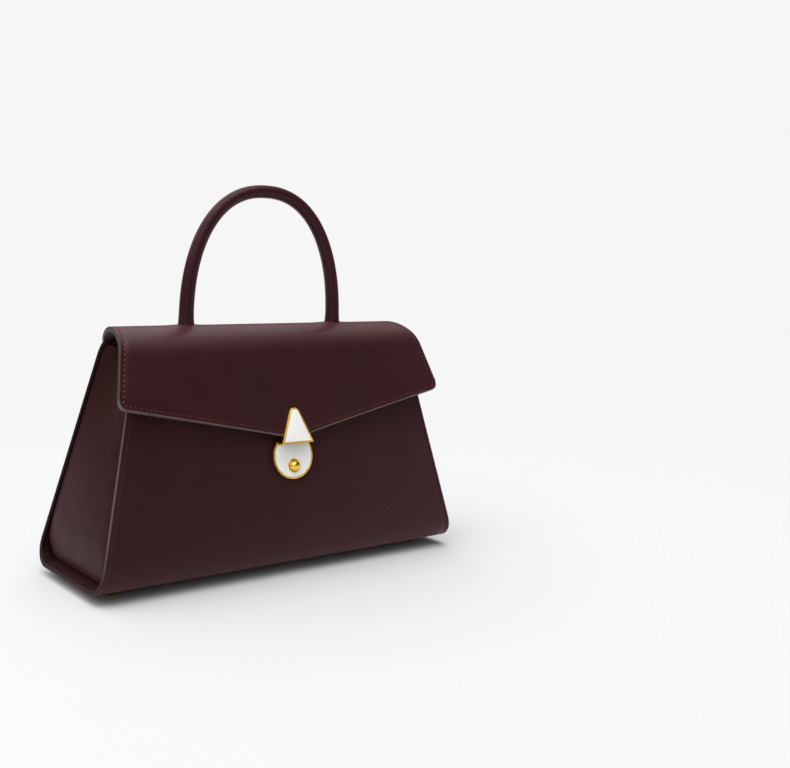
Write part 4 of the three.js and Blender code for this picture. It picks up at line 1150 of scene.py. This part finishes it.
def make_lock():
    disc = drum(DISC, DISC_BACK, DISC_FRONT)
    named("lock_plate", gold, mirror_gold)
    cut(disc, block((-NOTCH_HALF, NOTCH_FLOOR, -PAST / 2), (NOTCH_HALF, 1.5 * PAST, PAST), Matrix()))
    cut(disc, enamel_disc(0, DISC_FRONT - ENAMEL, PAST))
    cut(disc, drum(BALL + BALL_CLEAR, BORE_FLOOR, PAST, -BALL_DROP))
    undercut = drum(DISC + PAST / 20, -PAST / 20, DISC_FRONT - PLATE)
    cut(disc, cut(undercut, drum(DISC - OVERHANG, -PAST / 2, PAST)))
    for face in disc.data.polygons:
        face.material_index = 1 if face.center.z < DISC_FRONT - PLATE - 0.0001 else 0
    soften(disc, METAL_BEVEL, 3)
    fresh()
    bpy.ops.mesh.primitive_torus_add(
        major_radius=BALL + COLLAR, minor_radius=COLLAR_WIRE, major_segments=64, minor_segments=12,
        location=(0, -BALL_DROP, DISC_FRONT - COLLAR_SINK))
    bpy.ops.object.transform_apply()
    collar = smooth(named("collar", gold))
    disc = joined("lock_plate", [disc, collar])
    disc.data.transform(lock_place)
    settle(disc, "gold", "lock_disc")

    face = enamel_disc(ENAMEL_GAP, DISC_FRONT - ENAMEL, DISC_FRONT - ENAMEL_SINK)
    named("lock_enamel_face", enamel)
    cut(face, drum(BALL + ENAMEL_BORE, 0, PAST, -BALL_DROP))
    fix(face, ENAMEL_BEVEL, lock_place, "enamel", "lock_enamel")

    fresh()
    bpy.ops.mesh.primitive_uv_sphere_add(segments=64, ring_count=32, radius=BALL)
    ball = named("lock_ball", mirror_gold)
    pick(ball, "FACE", lambda face: face.center.z < -1e-5)
    bpy.ops.mesh.delete(type="FACE")
    pick(ball, "EDGE", lambda edge: all(abs(ball.data.vertices[i].co.z) < 1e-6 for i in edge.vertices))
    for depth in SKIRT:
        push(-depth)
    bpy.ops.mesh.edge_face_add()
    bpy.ops.mesh.inset(thickness=STEM_INSET)
    push(-STEM)
    done()
    soften(ball, BALL_BEVEL)
    ball.data.transform(lock_place @ Matrix.Translation((0, -BALL_DROP, DISC_FRONT - ENAMEL_SINK)))
    settle(ball, "gold", "lock_button", body="lock_button")


# Clasp on the flap's tip

CLASP_HALF = 0.0128
CLASP_LENGTH = 0.0246
CLASP_DROP = 0.0037
CLASP_NOSE = 0.0042
CLASP_BACK = 0.0003
CLASP_FRONT = 0.002
clasp_place = wall_frame(-1, 0, *tip, pi - flap_front(0)[0])


def triangle(margin, low, high):
    """A plate with straight sides and a rounded apex."""
    apex = CLASP_LENGTH - CLASP_NOSE
    slope = acos(CLASP_NOSE / hypot(CLASP_HALF, apex)) - atan2(apex, CLASP_HALF)
    foot = CLASP_HALF - margin / cos(slope) - margin * tan(slope)
    base = margin - CLASP_DROP
    outline = [(-foot, base), (foot, base)]
    for turn in steps(slope, pi - slope, 20):
        outline.append(polar((0, apex - CLASP_DROP), CLASP_NOSE - margin, turn))
    fresh()
    bpy.ops.mesh.primitive_circle_add(vertices=len(outline), fill_type="NGON")
    piece = bpy.context.object
    for vertex, (x, y) in zip(piece.data.vertices, outline):
        vertex.co = (x, y, low)
    edit(piece)
    turn_out()
    push(high - low)
    bpy.ops.mesh.select_all(action="SELECT")
    turn_out()
    done()
    return piece


def make_clasp():
    plate = triangle(0, CLASP_BACK, CLASP_FRONT)
    named("clasp_plate", gold)
    cut(plate, triangle(RIM, CLASP_FRONT - ENAMEL, PAST / 2))
    fix(plate, METAL_BEVEL, clasp_place, "gold", "clasp_triangle", "flap")
    face = triangle(RIM + ENAMEL_GAP, CLASP_FRONT - ENAMEL, CLASP_FRONT - ENAMEL_SINK)
    named("clasp_enamel_face", enamel)
    fix(face, ENAMEL_BEVEL, clasp_place, "enamel", "clasp_enamel", "flap")


# Feet

FOOT_RADIUS = 0.0055
FOOT_HEIGHT = 0.0058
FOOT_ROUND = 0.0026
FOOT_STEP = 0.0004  # a narrower step under the base
FOOT_STEP_IN = 0.0006
FOOT_X = 0.125
FOOT_Y = 0.022


def make_feet():
    for y, row in ((-1, "front"), (1, "rear")):
        for x, side in SIDES:
            foot = drum(FOOT_RADIUS, 0, FOOT_HEIGHT, sides=48)
            named(f"stud_{row}_{side}", foot_gold_in_shade)
            pick(foot, "EDGE", lambda edge: all(foot.data.vertices[i].co.z < 1e-6 for i in edge.vertices))
            bpy.ops.mesh.bevel(offset=FOOT_ROUND, segments=6, affect="EDGES")
            done()
            pick(foot, "FACE", lambda face: face.normal.z > 0.9)
            bpy.ops.mesh.inset(thickness=FOOT_STEP_IN)
            push(FOOT_STEP)
            done()
            smooth(foot)
            foot.data.transform(Matrix.Translation((x * FOOT_X, y * FOOT_Y, 0)))
            settle(foot, "gold", f"foot_{row}_{side}")


# D-rings and their tabs

RING_HALF = 0.0069
RING_DROP = 0.012
RING_WIRE = 0.001
RING_BEND = 0.0015
RING_REST = 0.0013  # its lower end off the tail
RING_RISE = 0.00575
RING_MARGIN = 0.0198
BAR_STAND = 0.0026  # bar's centre off the tail
TAB_HALF = 0.0045
TAB_RISE = 0.005
TAB_LEATHER = 0.001
TAB_BEVEL = 0.0002
TAB_BACK = 0.0007  # middle of the leather off the tail
TAB_LOOP = 0.0018  # round the bar
TAB_DOWN = (TAB_RISE, 0.003, 0.0)  # down the tail to the bar
TAB_UP = [(0.0012, 0.0040), (0.0022, 0.0027), (0.0032, 0.0019), (TAB_RISE, 0.0017)]  # and back over itself
TAB_SEAM = (0.0042, 0.0023)  # up the tail and off it
TAB_SEAM_HALF = 0.0036
ring_height = WALL_TOP + RING_RISE
ring_x = half_width(ring_height) - RING_MARGIN


def make_drings():
    bend = RING_HALF - RING_BEND
    loop = [polar((bend, -RING_BEND), RING_BEND, turn) for turn in steps(pi / 2, 0, 6)]
    loop += [polar((0, RING_HALF - RING_DROP), RING_HALF, turn) for turn in steps(0, -pi, 28)]
    loop += [polar((-bend, -RING_BEND), RING_BEND, turn) for turn in steps(pi, pi / 2, 6)]
    loop = [(x, y, 0) for x, y in loop]
    lean = Matrix.Rotation(asin((BAR_STAND - RING_REST) / RING_DROP), 4, "X")
    strap = [(y, TAB_BACK) for y in TAB_DOWN]
    for turn in steps(-pi / 2, -1.5 * pi, 10)[1:]:
        strap.append(polar((0, BAR_STAND), TAB_LOOP, turn))
    strap += TAB_UP
    for sign, name in SIDES:
        place = wall_frame(1, sign * ring_x, tail_surface(ring_height), ring_height, wall_angle)
        ring = line_curve(loop, cyclic=True)
        ring.data.bevel_depth = RING_WIRE
        ring.data.bevel_resolution = 5
        ring.data.use_fill_caps = False
        use(ring)
        bpy.ops.object.convert(target="MESH")
        named(f"{name}_dring_wire", pale_gold)
        smooth(weld(ring))
        ring.data.transform(place @ Matrix.Translation((0, 0, BAR_STAND)) @ lean)
        settle(ring, "gold", f"{name}_dring", body=f"{name}_dring")

        tab = loft(f"{name}_tab_leather", strap, steps(-TAB_HALF, TAB_HALF, 4),
                   lambda spot, x: (x, *spot), burgundy, burgundy_inside, painted_edge)
        thicken(tab, TAB_LEATHER, 0, 2, offset=0)
        soften(weld(tab), TAB_BEVEL)
        tab.data.transform(place)
        settle(tab, "leather", f"{name}_dring_tab")
        row = [place @ Vector((x, *TAB_SEAM)) for x in steps(-TAB_SEAM_HALF, TAB_SEAM_HALF, 6)]
        sew(f"{name}_tab_stitches", row)


for make in (make_wrap, make_rim_stitches, make_facings, make_body_lining, make_gussets, make_rim_paint,
             make_flap, make_handle, make_lock, make_clasp, make_feet, make_drings):
    make()

# Pieces that stay as they are get their finish

slot_finish = {
    "leather": burgundy,
    "lining": lining_cloth,
    "board": board,
    "padding": wadding,
    "core": wadding,
    "gold": gold,
    "enamel": enamel,
    "steel": steel,
}
for subpart in frame["record"]["subparts"]:
    mesh = frame["nodes"][subpart["node"]].data
    mesh.materials.clear()
    mesh.materials.append(slot_finish[subpart["material_slot"]])

# Stage, light and camera

BACKDROP = 0.922
FLOOR_COLOUR = (0.565, 0.572, 0.58, 1)
FLOOR_END = 0.65
FLOOR_WIDE = 1.25  # its fade reaches further along the bag
BRIGHT_SIDE = (-0.5, 0.4, 0.75)
SIDE_FADE = (0.15, 0.6)
HEIGHT_FADE = (0.2, 0.55)
BRIGHT = 1.5
DIM = 0.08
AIM = Vector((0, 0, 0.09))  # what the softbox is turned to
LENS = 51.6825
SENSOR = 36
CAMERA_PLACE = (-0.4347, -0.68161, 0.23467)
CAMERA_TURN = (("Z", -39.324568), ("X", 82.649561), ("Z", 2.261172))  # heading, tilt and roll, in degrees


def make_floor():
    """A floor that the camera sees fade into the backdrop."""
    fresh()
    bpy.ops.mesh.primitive_circle_add(vertices=96, radius=2 * FLOOR_END, fill_type="NGON")
    finish = Finish("floor", Base_Color=FLOOR_COLOUR, Roughness=0.6, Specular_IOR_Level=0.1)
    floor = named("floor", finish.material)
    scale = finish.add("ShaderNodeMapping", Scale=(1 / FLOOR_END / FLOOR_WIDE, 1 / FLOOR_END, 1.0),
                       Vector=finish.place)
    away = finish.add("ShaderNodeTexGradient", gradient_type="SPHERICAL", Vector=scale.outputs["Vector"])
    shown = finish.ramp(away.outputs["Fac"], "Alpha", (0.02, 0.0), (0.65, 1.0))
    seen = finish.add("ShaderNodeLightPath").outputs["Is Camera Ray"]
    solid = finish.add("ShaderNodeMix", data_type="FLOAT", in_0=seen, in_2=1.0, in_3=shown)
    finish.feed("Alpha", solid.outputs[0])


def make_world():
    """Bright overhead, behind and to the left, dim elsewhere; the camera sees a plain backdrop."""
    world = bpy.data.worlds.new("studio")
    world.use_nodes = True
    tree = world.node_tree
    sky = node(tree, "ShaderNodeTexCoord").outputs["Generated"]
    toward = node(tree, "ShaderNodeVectorMath", operation="DOT_PRODUCT", in_0=sky, in_1=BRIGHT_SIDE)
    height = node(tree, "ShaderNodeSeparateXYZ", Vector=sky)
    fades = []
    for value, (low, high) in ((toward.outputs["Value"], SIDE_FADE), (height.outputs["Z"], HEIGHT_FADE)):
        fades.append(node(tree, "ShaderNodeMapRange", interpolation_type="SMOOTHSTEP", Value=value,
                          From_Min=low, From_Max=high).outputs["Result"])
    both = node(tree, "ShaderNodeMath", operation="MULTIPLY", in_0=fades[0], in_1=fades[1])
    shade = node(tree, "ShaderNodeMapRange", Value=both.outputs[0], To_Min=DIM, To_Max=BRIGHT)
    lit = node(tree, "ShaderNodeBackground", Color=(1, 1, 1, 1), Strength=shade.outputs["Result"])
    seen = node(tree, "ShaderNodeBackground", Color=(BACKDROP, BACKDROP, BACKDROP, 1), Strength=1.0)
    path = node(tree, "ShaderNodeLightPath")
    choose = node(tree, "ShaderNodeMixShader", Fac=path.outputs["Is Camera Ray"],
                  in_1=lit.outputs[0], in_2=seen.outputs[0])
    tree.links.new(choose.outputs[0], tree.nodes["World Output"].inputs["Surface"])
    scene.world = world


def lamp(name, kind, place, toward, **settings):
    light = bpy.data.lights.new(name, kind)
    for key, value in settings.items():
        setattr(light, key, value)
    made = bpy.data.objects.new(name, light)
    made.location = place
    made.rotation_euler = toward.to_track_quat("-Z", "Y").to_euler()
    scene.collection.objects.link(made)


def make_camera():
    data = bpy.data.cameras.new("camera")
    data.lens = LENS
    data.sensor_width = SENSOR
    camera = bpy.data.objects.new("camera", data)
    stand = Matrix.Translation(CAMERA_PLACE)
    for axis, degrees in CAMERA_TURN:
        stand = stand @ Matrix.Rotation(radians(degrees), 4, axis)
    camera.matrix_world = stand
    scene.collection.objects.link(camera)
    scene.camera = camera


make_floor()
make_world()
window = Vector((0.62, -0.55, 0.12))
lamp("overhead", "SUN", (0, 0, 0), Vector((0.12, 0.08, -1.0)), angle=radians(60), energy=1.6)
lamp("front_fill", "SUN", (0, 0, 0), Vector((0.43, 0.48, -0.72)), angle=radians(100), energy=1.15)
lamp("window", "AREA", window, AIM - window, size=0.4, energy=0.25)
make_camera()
scene.view_settings.view_transform = "Standard"
